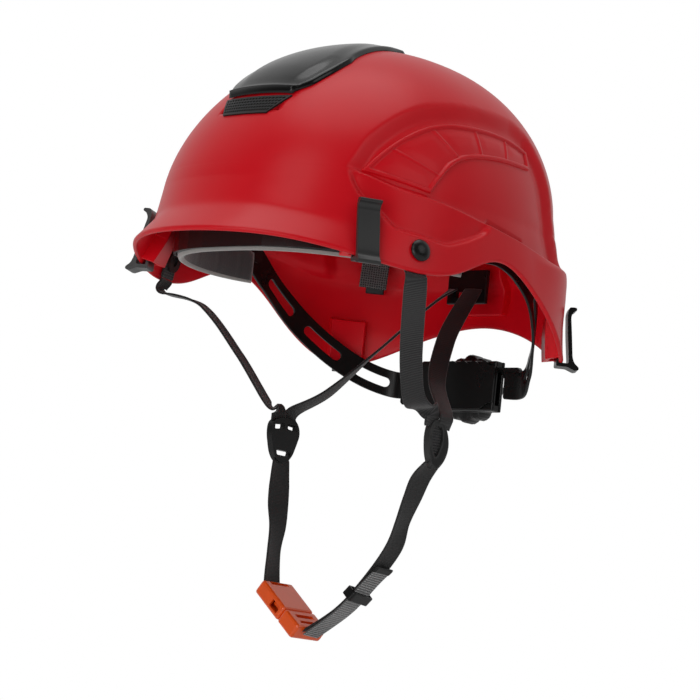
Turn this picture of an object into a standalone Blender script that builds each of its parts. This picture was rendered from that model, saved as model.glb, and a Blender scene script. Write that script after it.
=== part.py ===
"""Climbing helmet: hard shell, textile cradle, wheel-adjusted headband, chin strap and side-release buckle.

Run with: blender --background --python part.py
Frame: metres, +Z up along the head, -Y to the front, +X to the wearer's left.
The origin is the centre of the headband ring, where the head sits.
"""
from math import cos, pi, radians, sin, tan

import bmesh
import bpy
import numpy as np
from mathutils import Matrix, Vector

MM = 0.001
GAP = 0.3 * MM             # clearance between pieces that touch

# ---- shell ----
SHELL_HALF_WIDTH = 107.0 * MM
SHELL_FRONT = 123.9 * MM   # centre to the front of the dome, above the brim
SHELL_REAR = 127.1 * MM
SHELL_CROWN = 139.0 * MM   # height of the crown above the origin
SHELL_WALL = 2.8 * MM
DOME_START = 34.75 * MM    # height at which the flared skirt turns into the dome
CROWN_SHIFT = 17.2 * MM    # how far the crown lies behind the centre
PLAN_POWER_FRONT = 2.14
PLAN_POWER_REAR = 2.34
SHELL_AROUND = 96
SHELL_ROWS = 24
SKIRT_ROWS = 6             # rows of faces from the rim up to the side ledge
SKIRT_FLARE = ((0, 0.727), (48, 0.227), (90, 0.113), (130, 0.233), (180, 0.098))
RIM_HEIGHT = ((0, -1.1), (25, -2.6), (50, -10.2), (75, -8.5), (95, 6.2),
              (115, -10.5), (135, -38.6), (157, -24.4), (180, -11.6))
RECESS_DEPTH = 5.0 * MM    # how far the sides lie inside the dome
RECESS_SLOPE = 8.5 * MM    # width of the sloping band along the recess's arched edge
LEDGE_HEIGHT = 3.0 * MM    # the step from the recess out to the skirt
LEDGE = ((0, 43), (37, 43), (55, 35.5), (66, 33.1), (91, 25.9), (110, 21.1), (137, 14), (180, 12))
ARCH = ((0, 43), (37, 43), (42, 64), (51, 82), (60, 91), (74, 96.5), (88, 98.5), (108, 99),
        (119, 94), (126, 76), (131, 46), (135, 14), (180, 12))

# ---- clips for a headlamp band, and the sockets moulded inside the rim for them ----
CLIP_ANGLES = (("clip_front_left", 46.0), ("clip_front_right", -46.0),
               ("clip_rear_left", 139.0), ("clip_rear_right", -139.0))
CLIP_WIDTH = 13.0 * MM
CLIP_HEIGHT = 33.0 * MM
CLIP_PLATE = 2.4 * MM
CLIP_LEG = 4.0 * MM        # how far the hook reaches up inside the rim
CLIP_STANDOFF = 1.1 * MM
CLIP_SEAT = 1.6 * MM       # clearance under the rim, whose edge slopes across the clip
SOCKET_WIDTH = 25.0 * MM
SOCKET_HEIGHT = 27.0 * MM
SOCKET_DEPTH = 11.0 * MM
SOCKET_SLOT_DEPTH = 5.0 * MM
SOCKET_SLOT_HEIGHT = 13.0 * MM

# ---- front vent under its cover ----
VENT_LOW = 74.0 * MM       # height of the grille's lower edge
VENT_TOP = 88.0 * MM
VENT_HALF_WIDTH = 27.0 * MM
VENT_COVER_REAR = 12.0 * MM    # how far behind the origin the cover ends, at the crown
VENT_COVER_WALL = 2.2 * MM
VENT_WINDOW_HALF = 20.0 * MM
VENT_COVER_SWELL = 7.0 * MM    # how much wider the cover is at its middle than at the grille
VENT_COVER_TAPER = 3.0 * MM
GRILLE_WALL = 1.2 * MM
GRILLE_COLUMNS = 9
GRILLE_ROWS = 2

# ---- strap anchors ----
ANCHOR_ANGLE = 61.6        # degrees from the front, either side
ANCHOR_HEIGHT = -0.6 * MM
BUTTON_RADIUS = 6.3 * MM
BUTTON_DOME = 2.6 * MM
SHANK_RADIUS = 2.6 * MM
SHANK_HOLE_CLEARANCE = 0.4 * MM
WASHER_RADIUS = 7.0 * MM
WASHER_WALL = 1.6 * MM
TAB_LENGTH = 17.0 * MM

# ---- webbing ----
WEBBING_WIDTH = 14.5 * MM
WEBBING_WALL = 1.3 * MM
REAR_WEBBING_WIDTH = 10.4 * MM

# ---- rear block of the shell, which the rear strap is led through ----
REAR_BLOCK_HALF = 21.0 * MM
REAR_BLOCK_LOW = -5.0 * MM
REAR_BLOCK_TOP = 27.0 * MM
REAR_BLOCK_DEPTH = 9.0 * MM
ANCHOR_PLATE_WIDTH = 32.0 * MM
ANCHOR_PLATE_HEIGHT = 22.0 * MM
ANCHOR_PLATE_WALL = 3.0 * MM

# ---- headband ----
BAND_HALF_WIDTH = 91.0 * MM
BAND_FRONT = 115.0 * MM
BAND_POWER = 2.4
BAND_WALL = 1.6 * MM
BAND_LOW = -6.5 * MM
BAND_TOP = 22.0 * MM
BAND_TEMPLE_RISE = 15.0 * MM   # the band climbs towards the temples
PAD_WALL = 4.5 * MM
PAD_STANDOFF = 1.0 * MM
PAD_LOW = -8.0 * MM
PAD_TOP = 21.0 * MM
BAND_STEPS = 26                # facets from temple to temple
PLUG_SIDE = 12.0 * MM          # plugs that hold the cradle legs
PLUG_DEPTH = 5.0 * MM
PLUG_DROP = 7.0 * MM           # from a leg's nominal height down to its plug
LEG_WIDTH = 18.0 * MM
LEG_WALL = 1.2 * MM
LEG_STANDOFF = 13.0 * MM       # from the shell's inner face to a leg
CRADLE_LEGS = (("front_left", 52.0, 42.0 * MM), ("front_right", -52.0, 42.0 * MM),
               ("rear_left", 146.0, 30.0 * MM), ("rear_right", -146.0, 20.0 * MM))
CROWN_PAD_RADIUS = 27.0 * MM
CROWN_PAD_DROP = 27.0 * MM     # from the crown down to where the legs meet
PAD_STEPS = 22                 # the pad covers this many of them

# ---- nape arms and wheel adjuster ----
PIVOT_Y = 10.0 * MM
PIVOT_Z = 14.0 * MM
PIN_RADIUS = 3.0 * MM
PIN_HEAD = 5.2 * MM
PIN_FLANGE = 4.6 * MM
ARM_WIDTH = 17.0 * MM
ARM_WALL = 1.8 * MM
ADJUSTER_Y = 113.0 * MM        # front face of the adjuster's housing
ADJUSTER_Z = -53.0 * MM
HOUSING_WIDTH = 62.0 * MM
HOUSING_HEIGHT = 32.0 * MM
HOUSING_DEPTH = 6.6 * MM
HOUSING_WALL = 2.0 * MM
COVER_WALL = 2.0 * MM
GEAR_MODULE = 1.5 * MM
PINION_TEETH = 10
RACK_TEETH = 8
GEAR_BACKLASH = 0.45 * MM
GEAR_WIDTH = 3.4 * MM
PRESSURE_ANGLE = 25.0
RACK_BACK = 2.6 * MM           # height of the bar behind the rack's tooth roots
RACK_REACH = 48.0 * MM         # from the adjuster's middle to the tail's outer end
SHAFT_RADIUS = 4.4 * MM
STUB_RADIUS = 1.8 * MM
KNOB_RADIUS = 22.0 * MM
KNOB_DEPTH = 13.0 * MM
KNOB_LOBES = 12
KNOB_LOBE_HEIGHT = 1.3 * MM

# ---- strap divider, buckle and keeper ----
DIVIDER_X = 62.0 * MM
DIVIDER_Y = 22.0 * MM
DIVIDER_Z = -99.0 * MM
DIVIDER_WALL = 3.6 * MM
BUCKLE_CENTRE = (-36.0 * MM, 24.0 * MM, -211.0 * MM)
BUCKLE_LENGTH = 27.0 * MM      # length of the female half
BUCKLE_WIDTH = 27.0 * MM
BUCKLE_DEPTH = 10.0 * MM
BUCKLE_WALL = 1.7 * MM
MALE_LENGTH = 16.0 * MM        # the male half's body, without its tongue
TONGUE_LENGTH = 16.0 * MM
TONGUE_WIDTH = 10.0 * MM
TONGUE_WALL = 2.4 * MM
PRONG_WIDTH = 3.2 * MM
KEEPER_WIDTH = 6.0 * MM

PARTS = "climbing_helmet"
CUTTERS = "cutters"


# ---------------------------------------------------------------- helpers
def fresh_scene():
    """Empty the scene and make the two collections."""
    for item in list(bpy.data.objects):
        bpy.data.objects.remove(item)
    for name in (PARTS, CUTTERS):
        group = bpy.data.collections.new(name)
        bpy.context.scene.collection.children.link(group)


def keep(item, colour, roughness, metallic=0.0):
    """Put a finished part in the parts collection and give it its own material."""
    for group in list(item.users_collection):
        group.objects.unlink(item)
    bpy.data.collections[PARTS].objects.link(item)
    finish = bpy.data.materials.new(item.name + "_finish")
    finish.use_nodes = True
    shader = finish.node_tree.nodes["Principled BSDF"]
    shader.inputs["Base Color"].default_value = (*colour, 1.0)
    shader.inputs["Roughness"].default_value = roughness
    shader.inputs["Metallic"].default_value = metallic
    item.data.materials.clear()
    item.data.materials.append(finish)
    return item


def as_cutter(item):
    """Keep a helper shape out of the model."""
    for group in list(item.users_collection):
        group.objects.unlink(item)
    bpy.data.collections[CUTTERS].objects.link(item)
    item.hide_render = True
    item.display_type = "WIRE"
    return item


def new_object(name, mesh):
    item = bpy.data.objects.new(name, mesh)
    bpy.context.scene.collection.objects.link(item)
    return item


def combine(item, other, operation):
    """Boolean one closed shape with another."""
    step = item.modifiers.new(operation.lower() + "_" + other.name, "BOOLEAN")
    step.operation = operation
    step.solver = "EXACT"
    step.object = as_cutter(other)
    return item


def thicken(item, thickness, offset):
    """Solidify an open surface; offset -1 grows against its normals."""
    step = item.modifiers.new("wall", "SOLIDIFY")
    step.thickness = thickness
    step.offset = offset
    step.use_even_offset = False
    return item


def grid_surface(name, rows, skip=None):
    """An open surface through rows of points; skip(i, j) leaves a quad out as an opening."""
    shape = bmesh.new()
    points = [[shape.verts.new(point) for point in row] for row in rows]
    for i in range(len(points) - 1):
        for j in range(len(points[0]) - 1):
            if skip is None or not skip(i, j):
                shape.faces.new((points[i][j], points[i][j + 1], points[i + 1][j + 1], points[i + 1][j]))
    loose = [vert for vert in shape.verts if not vert.link_faces]
    bmesh.ops.delete(shape, geom=loose, context="VERTS")
    mesh = bpy.data.meshes.new(name)
    shape.to_mesh(mesh)
    shape.free()
    mesh.shade_smooth()
    mesh.set_sharp_from_angle(angle=radians(40))
    return new_object(name, mesh)


def box(name, size, centre, turn=None, bevel=0.0):
    """A box of the given size; turn is a rotation matrix."""
    shape = bmesh.new()
    bmesh.ops.create_cube(shape, size=1.0)
    bmesh.ops.scale(shape, vec=Vector(size), verts=shape.verts)
    mesh = bpy.data.meshes.new(name)
    shape.to_mesh(mesh)
    shape.free()
    item = new_object(name, mesh)
    item.matrix_world = Matrix.Translation(Vector(centre)) @ (turn.to_4x4() if turn else Matrix())
    if bevel:
        step = item.modifiers.new("edges", "BEVEL")
        step.width = bevel
        step.segments = 2
        step.limit_method = "ANGLE"
    return item


def outline(name, points, depth, frame):
    """Extrude a flat closed outline by depth, centred on the frame's own XY plane."""
    curve = bpy.data.curves.new(name, "CURVE")
    curve.dimensions = "2D"
    curve.fill_mode = "BOTH"
    curve.extrude = depth / 2
    spline = curve.splines.new("POLY")
    spline.points.add(len(points) - 1)
    for knot, point in zip(spline.points, points):
        knot.co = (point[0], point[1], 0.0, 1.0)
    spline.use_cyclic_u = True
    item = bpy.data.objects.new(name, curve)
    bpy.context.scene.collection.objects.link(item)
    item.matrix_world = frame
    return item


def to_mesh(item):
    """Turn a curve object into a mesh object of the same name and place."""
    graph = bpy.context.evaluated_depsgraph_get()
    mesh = bpy.data.meshes.new_from_object(item.evaluated_get(graph))
    shape = bmesh.new()
    shape.from_mesh(mesh)
    bmesh.ops.remove_doubles(shape, verts=shape.verts, dist=0.00001)
    bmesh.ops.recalc_face_normals(shape, faces=shape.faces)
    shape.to_mesh(mesh)
    shape.free()
    name, place = item.name, item.matrix_world.copy()
    bpy.data.objects.remove(item)
    solid = new_object(name, mesh)
    solid.name = name
    solid.matrix_world = place
    return solid


def without_specks(item, least=12):
    """Apply a part's Booleans, and drop the loose flakes of a few faces that they can leave."""
    graph = bpy.context.evaluated_depsgraph_get()
    mesh = bpy.data.meshes.new_from_object(item.evaluated_get(graph))
    shape = bmesh.new()
    shape.from_mesh(mesh)
    bmesh.ops.triangulate(shape, faces=shape.faces)
    waiting = set(shape.faces)
    while waiting:
        island, edge = set(), {waiting.pop()}
        while edge:
            island |= edge
            joins = [side for face in edge for side in face.edges if len(side.link_faces) == 2]
            edge = {near for side in joins for near in side.link_faces} - island
        waiting -= island
        if len(island) < least:
            bmesh.ops.delete(shape, geom=list(island), context="FACES")
    shape.to_mesh(mesh)
    shape.free()
    item.modifiers.clear()
    item.data = mesh
    return item


def turned(name, profile, frame, steps=24):
    """A solid of revolution about the frame's Z axis; the profile runs down its outer side."""
    mesh = bpy.data.meshes.new(name)
    ring = profile[0] == profile[-1]
    points = [(radius, 0.0, height) for radius, height in (profile[:-1] if ring else profile)]
    edges = [(i, i + 1) for i in range(len(points) - 1)] + ([(len(points) - 1, 0)] if ring else [])
    mesh.from_pydata(points, edges, [])
    item = new_object(name, mesh)
    item.matrix_world = frame
    step = item.modifiers.new("turn", "SCREW")
    step.axis = "Z"
    step.steps = steps
    step.render_steps = steps
    step.use_merge_vertices = True
    step.merge_threshold = 0.00001
    step.use_smooth_shade = True
    return item


def frame_at(origin, x_axis, y_axis):
    """A 4x4 frame from an origin and two directions; Z is made square to both."""
    x_axis = Vector(x_axis).normalized()
    z_axis = x_axis.cross(Vector(y_axis)).normalized()
    y_axis = z_axis.cross(x_axis)
    turn = Matrix((x_axis, y_axis, z_axis)).transposed()
    return Matrix.Translation(Vector(origin)) @ turn.to_4x4()


def smooth_path(knots, count):
    """Points of a Catmull-Rom curve through the knots, evenly spread in parameter."""
    knots = [Vector(knot) for knot in knots]
    full = [2 * knots[0] - knots[1], *knots, 2 * knots[-1] - knots[-2]]
    path = []
    for i in range(count + 1):
        place = i / count * (len(knots) - 1)
        k = min(int(place), len(knots) - 2)
        t = place - k
        a, b, c, d = full[k:k + 4]
        path.append(0.5 * (2 * b + (c - a) * t + (2 * a - 5 * b + 4 * c - d) * t * t
                           + (3 * b - a - 3 * c + d) * t ** 3))
    return path


def ribbon(name, knots, sideways, width, wall, count, skip=None, across=1):
    """A flat band that follows a smooth path; sideways gives the direction of its width, per knot."""
    path = smooth_path(knots, count)
    sides = smooth_path(sideways, count)
    rows = []
    for i, point in enumerate(path):
        ahead = (path[min(i + 1, count)] - path[max(i - 1, 0)]).normalized()
        side = sides[i] - ahead * sides[i].dot(ahead)
        side.normalize()
        rows.append([point + side * width * (j / across - 0.5) for j in range(across + 1)])
    return thicken(grid_surface(name, rows, skip), wall, 0.0)


# ---------------------------------------------------------------- shell surface
def even_slopes(knots):
    """Slopes of the cubic spline through the knots, flat at both ends."""
    at, value = np.array(knots, float).T
    step = np.diff(at)
    rise = np.diff(value) / step
    count = len(knots)
    system = np.eye(count)
    right = np.zeros(count)
    for i in range(1, count - 1):
        system[i, i - 1:i + 2] = (1 / step[i - 1], 2 / step[i - 1] + 2 / step[i], 1 / step[i])
        right[i] = 3 * (rise[i - 1] / step[i - 1] + rise[i] / step[i])
    return np.linalg.solve(system, right)


def calm_slopes(knots):
    """Slopes that keep a curve through the knots from swinging past any of them."""
    at, value = np.array(knots, float).T
    rise = np.diff(value) / np.diff(at)
    slopes = np.zeros(len(knots))
    for i in range(1, len(knots) - 1):
        if rise[i - 1] * rise[i] > 0:
            slopes[i] = 2 * rise[i - 1] * rise[i] / (rise[i - 1] + rise[i])
    return slopes


def read_curve(knots, slopes, angle):
    """Value at an angle on a curve given at rising angles from the front, the same on both sides."""
    angle = abs((angle + 180.0) % 360.0 - 180.0)
    last = len(knots) - 2
    i = next((k for k in range(last) if angle <= knots[k + 1][0]), last)
    (a, low), (b, high) = knots[i], knots[i + 1]
    t = (angle - a) / (b - a)
    bend = (b - a) * (slopes[i] * t * (1 - t) ** 2 - slopes[i + 1] * t * t * (1 - t))
    return low + (high - low) * t * t * (3 - 2 * t) + bend


RIM_SLOPES = even_slopes(RIM_HEIGHT)
FLARE_SLOPES = calm_slopes(SKIRT_FLARE)
LEDGE_SLOPES = calm_slopes(LEDGE)
ARCH_SLOPES = calm_slopes(ARCH)


def rim_height(angle):
    return read_curve(RIM_HEIGHT, RIM_SLOPES, angle) * MM


def ledge_height(angle):
    return read_curve(LEDGE, LEDGE_SLOPES, angle) * MM


def side_recess(angle, height):
    """How far a point of the wall lies inside the dome's plain surface."""
    arch = read_curve(ARCH, ARCH_SLOPES, angle) * MM
    depth = min((arch - height) / RECESS_SLOPE, (height - ledge_height(angle)) / LEDGE_HEIGHT + 0.5)
    return RECESS_DEPTH * min(max(depth, 0.0), 1.0)


def row_height(angle, row):
    """Height of a row of the shell's points: even up to the side ledge, then closing in on the crown."""
    rim, ledge = rim_height(angle), ledge_height(angle)
    if row < SKIRT_ROWS:
        return rim + (ledge - LEDGE_HEIGHT / 2 - rim) * row / (SKIRT_ROWS - 1)
    above = ledge + LEDGE_HEIGHT / 2
    return above + (SHELL_CROWN - above) * sin(pi / 2 * (row - SKIRT_ROWS) / (SHELL_ROWS - SKIRT_ROWS))


def shell_point(angle, height, inset=0.0):
    """A point of the shell's outer surface, angle in degrees from the front towards the left."""
    turn = radians(angle)
    front = cos(turn) >= 0.0
    depth = SHELL_FRONT if front else SHELL_REAR
    power = PLAN_POWER_FRONT if front else PLAN_POWER_REAR
    plan = (abs(sin(turn) / SHELL_HALF_WIDTH) ** power + abs(cos(turn) / depth) ** power) ** (-1 / power)
    rise = min(max((height - DOME_START) / (SHELL_CROWN - DOME_START), 0.0), 1.0)
    dome = (1.0 - rise ** 1.87) ** (1 / 2.153)
    flare = read_curve(SKIRT_FLARE, FLARE_SLOPES, angle)
    radius = plan * dome + max(DOME_START - height, 0.0) * flare - inset
    return Vector((radius * sin(turn), -radius * cos(turn) + CROWN_SHIFT * rise, height))


def wall_frame(angle, height, inset=0.0):
    """Frame on the wall, square to it: X along the rim, Y up the wall, Z outward."""
    around, rise = 0.5, 0.5 * MM
    along = shell_point(angle + around, height) - shell_point(angle - around, height)
    up = shell_point(angle, height + rise) - shell_point(angle, height - rise)
    frame = frame_at(shell_point(angle, height), along, up)
    return frame @ Matrix.Translation(Vector((0, 0, -inset)))


def wall_block(name, angle, half_width, low, top, near, deep, across=6, up=3):
    """A closed block that follows the wall, from inset near to inset deep."""
    reach = half_width / shell_point(angle, low).xy.length
    rows = []
    for i in range(up + 1):
        height = low + (top - low) * i / up
        rows.append([shell_point(angle + (j / across * 2 - 1) * reach * 180 / pi, height, near)
                     for j in range(across + 1)])
    return thicken(grid_surface(name, rows), deep - near, -1.0)


# ---------------------------------------------------------------- shell parts
def build_shell():
    shape = bmesh.new()
    bmesh.ops.create_uvsphere(shape, u_segments=SHELL_AROUND, v_segments=2 * SHELL_ROWS, radius=1.0)
    lower = [vert for vert in shape.verts if vert.co.z < -0.001]
    bmesh.ops.delete(shape, geom=lower, context="VERTS")
    for vert in shape.verts:
        angle = np.degrees(np.arctan2(vert.co.x, -vert.co.y))
        row = round(np.degrees(np.arcsin(min(max(vert.co.z, 0.0), 1.0))) / 90.0 * SHELL_ROWS)
        height = row_height(angle, row)
        vert.co = shell_point(angle, height, side_recess(angle, height))
    mesh = bpy.data.meshes.new("outer_shell")
    shape.to_mesh(mesh)
    shape.free()
    mesh.shade_smooth()
    shell = thicken(new_object("outer_shell", mesh), SHELL_WALL, -1.0)
    for name, angle in CLIP_ANGLES:
        low = rim_height(angle) + 2.0 * MM
        socket = wall_block(name + "_socket", angle, SOCKET_WIDTH / 2, low, low + SOCKET_HEIGHT,
                            SHELL_WALL / 2, SOCKET_DEPTH)
        combine(shell, socket, "UNION")
        slot = wall_block(name + "_slot", angle, CLIP_WIDTH / 2 + 1.2 * MM, low - 12.0 * MM,
                          low + SOCKET_SLOT_HEIGHT, SHELL_WALL - 0.5 * MM,
                          SHELL_WALL + SOCKET_SLOT_DEPTH, across=2)
        combine(shell, slot, "DIFFERENCE")
    block = wall_block("rear_block", 180.0, REAR_BLOCK_HALF, REAR_BLOCK_LOW, REAR_BLOCK_TOP,
                       SHELL_WALL / 2, REAR_BLOCK_DEPTH)
    combine(shell, block, "UNION")
    for side in (-1, 1):
        place = wall_frame(side * ANCHOR_ANGLE, ANCHOR_HEIGHT)
        radius = SHANK_RADIUS + SHANK_HOLE_CLEARANCE
        hole = turned("shank_hole", ((0, 8 * MM), (radius, 8 * MM), (radius, -8 * MM), (0, -8 * MM)),
                      place, steps=16)
        combine(shell, hole, "DIFFERENCE")
    window_low = VENT_LOW + 3.0 * MM
    window = wall_block("vent_window", 0.0, VENT_WINDOW_HALF, window_low, VENT_TOP - 2.0 * MM,
                        -4.0 * MM, SHELL_WALL + 12.0 * MM)
    combine(shell, window, "DIFFERENCE")
    return keep(without_specks(shell), (0.72, 0.02, 0.03), 0.38)


def cover_rows(low_inset, count_up, count_across):
    """Rows of the vent cover's surface, from the grille's top edge back to the crown."""
    front = shell_point(0.0, VENT_TOP).y
    rows = []
    for i in range(count_up + 1):
        along = i / count_up
        y = front + (VENT_COVER_REAR - front) * along
        half = VENT_HALF_WIDTH + VENT_COVER_SWELL * sin(pi * min(along * 0.75, 1.0)) - VENT_COVER_TAPER * along
        row = []
        for j in range(count_across + 1):
            x = half * (1 - 2 * j / count_across)
            row.append(on_dome(x, y, low_inset))
        rows.append(row)
    return rows


def on_dome(x, y, inset=0.0):
    """The dome's point above plan position (x, y), moved inward by inset."""
    low, high = DOME_START, SHELL_CROWN - 0.05 * MM
    for _ in range(40):
        height = (low + high) / 2
        rise = (height - DOME_START) / (SHELL_CROWN - DOME_START)
        angle = np.degrees(np.arctan2(x, -(y - CROWN_SHIFT * rise)))
        edge = shell_point(angle, height)
        edge.y -= CROWN_SHIFT * rise
        if edge.xy.length > Vector((x, y - CROWN_SHIFT * rise)).length:
            low = height
        else:
            high = height
    top = Vector((x, y, low))
    centre = Vector((0.0, CROWN_SHIFT, 10.0 * MM))
    return top - (top - centre).normalized() * inset


def build_vent():
    standoff = GAP + VENT_COVER_WALL
    cover = thicken(grid_surface("vent_cover", cover_rows(-standoff, 12, 8)), VENT_COVER_WALL, -1.0)
    keep(cover, (0.012, 0.012, 0.014), 0.12)
    low, high = VENT_LOW, VENT_TOP - GAP
    reach = np.degrees(VENT_HALF_WIDTH * 0.8 / shell_point(0.0, low).xy.length)
    columns, lines = 2 * GRILLE_COLUMNS + 1, 2 * GRILLE_ROWS + 1
    rows = []
    for i in range(lines + 1):
        height = low + (high - low) * i / lines
        rows.append([shell_point((j / columns * 2 - 1) * reach, height, -2 * GAP - GRILLE_WALL)
                     for j in range(columns + 1)])
    grille = grid_surface("vent_grille", rows, lambda i, j: i % 2 == 1 and j % 2 == 1)
    keep(thicken(grille, GRILLE_WALL, -1.0), (0.015, 0.015, 0.015), 0.5)


def clip_profile():
    """Side outline of a clip: x outward from the rim's foot, y up."""
    top = CLIP_HEIGHT
    lean = -0.23
    skin = CLIP_STANDOFF
    out = skin + CLIP_PLATE
    leg_out = -SHELL_WALL - 2.0 * MM
    leg_in = leg_out - 1.6 * MM
    floor = -CLIP_SEAT - CLIP_PLATE
    return [(skin, 1.0 * MM), (skin + lean * top + 1.4 * MM, top - 2.5 * MM),
            (skin + lean * top + 1.8 * MM, top), (out + lean * top + 3.6 * MM, top),
            (out + lean * top + 4.4 * MM, top - 2.2 * MM), (out + lean * top + 1.6 * MM, top - 4.0 * MM),
            (out, 1.0 * MM), (out + 4.6 * MM, -3.2 * MM), (out + 3.4 * MM, floor - 1.6 * MM),
            (1.0 * MM, floor), (leg_in, floor), (leg_in, CLIP_LEG), (leg_out, CLIP_LEG),
            (leg_out, -CLIP_SEAT), (skin, -CLIP_SEAT)]


def clip_frame(angle):
    """X outward, Y up, Z along the rim, at the foot of the shell's outer face."""
    foot = shell_point(angle, rim_height(angle))
    wall = wall_frame(angle, rim_height(angle))
    outward = wall.to_3x3() @ Vector((0, 0, 1))
    outward.z = 0.0
    return frame_at(foot, outward, (0, 0, 1))


def build_clips():
    for name, angle in CLIP_ANGLES:
        clip = outline(name, clip_profile(), CLIP_WIDTH, clip_frame(angle))
        pivot = Matrix.Translation(Vector((-1.5 * MM, -2.2 * MM, 0.0)))
        clip = to_mesh(clip)
        clip.data.transform(pivot.inverted())
        clip.matrix_world = clip.matrix_world @ pivot
        keep(clip, (0.018, 0.018, 0.018), 0.42)


def build_anchors():
    """Buttons through the wall, their washers, and the riveted webbing tabs."""
    for side, word in ((1, "left"), (-1, "right")):
        place = wall_frame(side * ANCHOR_ANGLE, ANCHOR_HEIGHT)
        inside = -(SHELL_WALL + GAP)
        lift = 0.9 * MM
        shank_end = inside - WEBBING_WALL - 2 * GAP - WASHER_WALL - 0.8 * MM
        dome = [(0, lift + BUTTON_DOME), (BUTTON_RADIUS * 0.5, lift + BUTTON_DOME * 0.88),
                (BUTTON_RADIUS * 0.86, lift + BUTTON_DOME * 0.5), (BUTTON_RADIUS, lift + 0.5 * MM),
                (BUTTON_RADIUS, lift), (SHANK_RADIUS, lift), (SHANK_RADIUS, shank_end), (0, shank_end)]
        keep(turned("anchor_button_" + word, dome, place, steps=20), (0.015, 0.015, 0.015), 0.3)
        face = inside - WEBBING_WALL - 2 * GAP - 0.9 * MM
        hole = SHANK_RADIUS + GAP
        ring = [(hole, face), (WASHER_RADIUS, face), (WASHER_RADIUS, face - WASHER_WALL),
                (hole, face - WASHER_WALL), (hole, face)]
        keep(turned("anchor_washer_" + word, ring, place, steps=20), (0.02, 0.02, 0.02), 0.45)
        middle = inside - GAP - 0.5 * MM - WEBBING_WALL / 2
        tab = box("strap_tab_" + word, (WEBBING_WIDTH, TAB_LENGTH, WEBBING_WALL), (0, 0, 0))
        lower = Matrix.Translation(Vector((0, 6.0 * MM - TAB_LENGTH / 2, middle)))
        tab.matrix_world = place @ lower
        bore = turned("tab_bore_" + word, ((0, 3 * MM), (hole, 3 * MM), (hole, -3 * MM), (0, -3 * MM)),
                      place @ Matrix.Translation(Vector((0, 0, middle))), steps=16)
        combine(tab, bore, "DIFFERENCE")
        keep(tab, (0.02, 0.02, 0.02), 0.85)


def tab_end(side):
    """Where the riveted tab ends and the free webbing begins."""
    place = wall_frame(side * ANCHOR_ANGLE, ANCHOR_HEIGHT)
    inset = -(SHELL_WALL + 2 * GAP + 0.5 * MM + WEBBING_WALL / 2)
    return place @ Vector((0, 6.0 * MM - TAB_LENGTH - GAP, inset))


def build_rear_anchor():
    """A bar on the rear block that both rear straps are led through."""
    face = SHELL_REAR - REAR_BLOCK_DEPTH
    y = face - ANCHOR_PLATE_WALL - 0.2 * MM
    z = (REAR_BLOCK_LOW + REAR_BLOCK_TOP) / 2
    size = (ANCHOR_PLATE_WIDTH, ANCHOR_PLATE_WALL, ANCHOR_PLATE_HEIGHT)
    plate = box("rear_anchor", size, (0, y, z), bevel=0.8 * MM)
    slot = box("rear_anchor_slot", (WEBBING_WIDTH + 2.5 * MM, 8 * MM, 4.0 * MM), (0, y, z - 5 * MM))
    combine(plate, slot, "DIFFERENCE")
    keep(plate, (0.02, 0.02, 0.02), 0.4)


# ---------------------------------------------------------------- cradle
def build_cradle():
    """Four textile legs that meet under a crown pad, each hung from a plug on the wall."""
    meet = SHELL_CROWN - CROWN_PAD_DROP
    for word, angle, height in CRADLE_LEGS:
        inset = SHELL_WALL + LEG_STANDOFF
        foot = shell_point(angle, height - 12.0 * MM, inset)
        middle = shell_point(angle, 78.0 * MM, inset)
        high = shell_point(angle, 108.0 * MM, inset + 4.0 * MM)
        turn = radians(angle)
        out = Vector((sin(turn), -cos(turn), 0.0))
        top = Vector((0, CROWN_SHIFT, meet)) + out * (CROWN_PAD_RADIUS / 2)
        side = Vector((cos(turn), sin(turn), 0.0))
        leg = ribbon("cradle_leg_" + word, (foot, middle, high, top), (side,) * 4, LEG_WIDTH, LEG_WALL, 10)
        keep(leg, (0.015, 0.015, 0.015), 0.8)
        plug = box("cradle_plug_" + word, (PLUG_SIDE, PLUG_SIDE, PLUG_DEPTH), (0, 0, 0), bevel=0.8 * MM)
        recess = side_recess(angle, height)
        inset = SHELL_WALL + recess + PLUG_DEPTH / 2 + 1.2 * MM
        plug.matrix_world = wall_frame(angle, height - PLUG_DROP, inset)
        keep(plug, (0.02, 0.02, 0.02), 0.45)
    edge, rim = CROWN_PAD_RADIUS, CROWN_PAD_RADIUS - 3.0 * MM
    profile = ((0, 5 * MM), (rim, 4.4 * MM), (edge, 2.5 * MM), (edge, 1.5 * MM), (rim, 0), (0, 0))
    pad = turned("crown_pad", profile, Matrix.Translation(Vector((0, CROWN_SHIFT, meet - 8 * MM))), steps=20)
    keep(pad, (0.02, 0.02, 0.02), 0.9)


# ---------------------------------------------------------------- headband
def band_point(angle, inset=0.0):
    """Plan point of the headband's outer face, angle in degrees from the front."""
    turn = radians(angle)
    depth = BAND_FRONT + PIVOT_Y
    radius = (abs(sin(turn) / BAND_HALF_WIDTH) ** BAND_POWER
              + abs(cos(turn) / depth) ** BAND_POWER) ** (-1 / BAND_POWER) - inset
    return Vector((radius * sin(turn), PIVOT_Y - radius * cos(turn), 0.0))


def band_strip(name, count, inset, wall, low, top):
    """A strip over the middle count facets of the headband."""
    reach = 90.0 * count / BAND_STEPS
    rows = []
    for i in range(count + 1):
        angle = (2 * i / count - 1) * reach
        base = band_point(angle, inset)
        rise = BAND_TEMPLE_RISE * (abs(angle) / 90.0) ** 2
        narrow = 0.5 * (top - low - 13 * MM) * (abs(angle) / 90.0) ** 4
        rows.append([base + Vector((0, 0, low + rise + narrow * 0.3)),
                     base + Vector((0, 0, (low + top) / 2 + rise)),
                     base + Vector((0, 0, top + rise - narrow * 1.7))])
    return thicken(grid_surface(name, rows), wall, -1.0)


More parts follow.
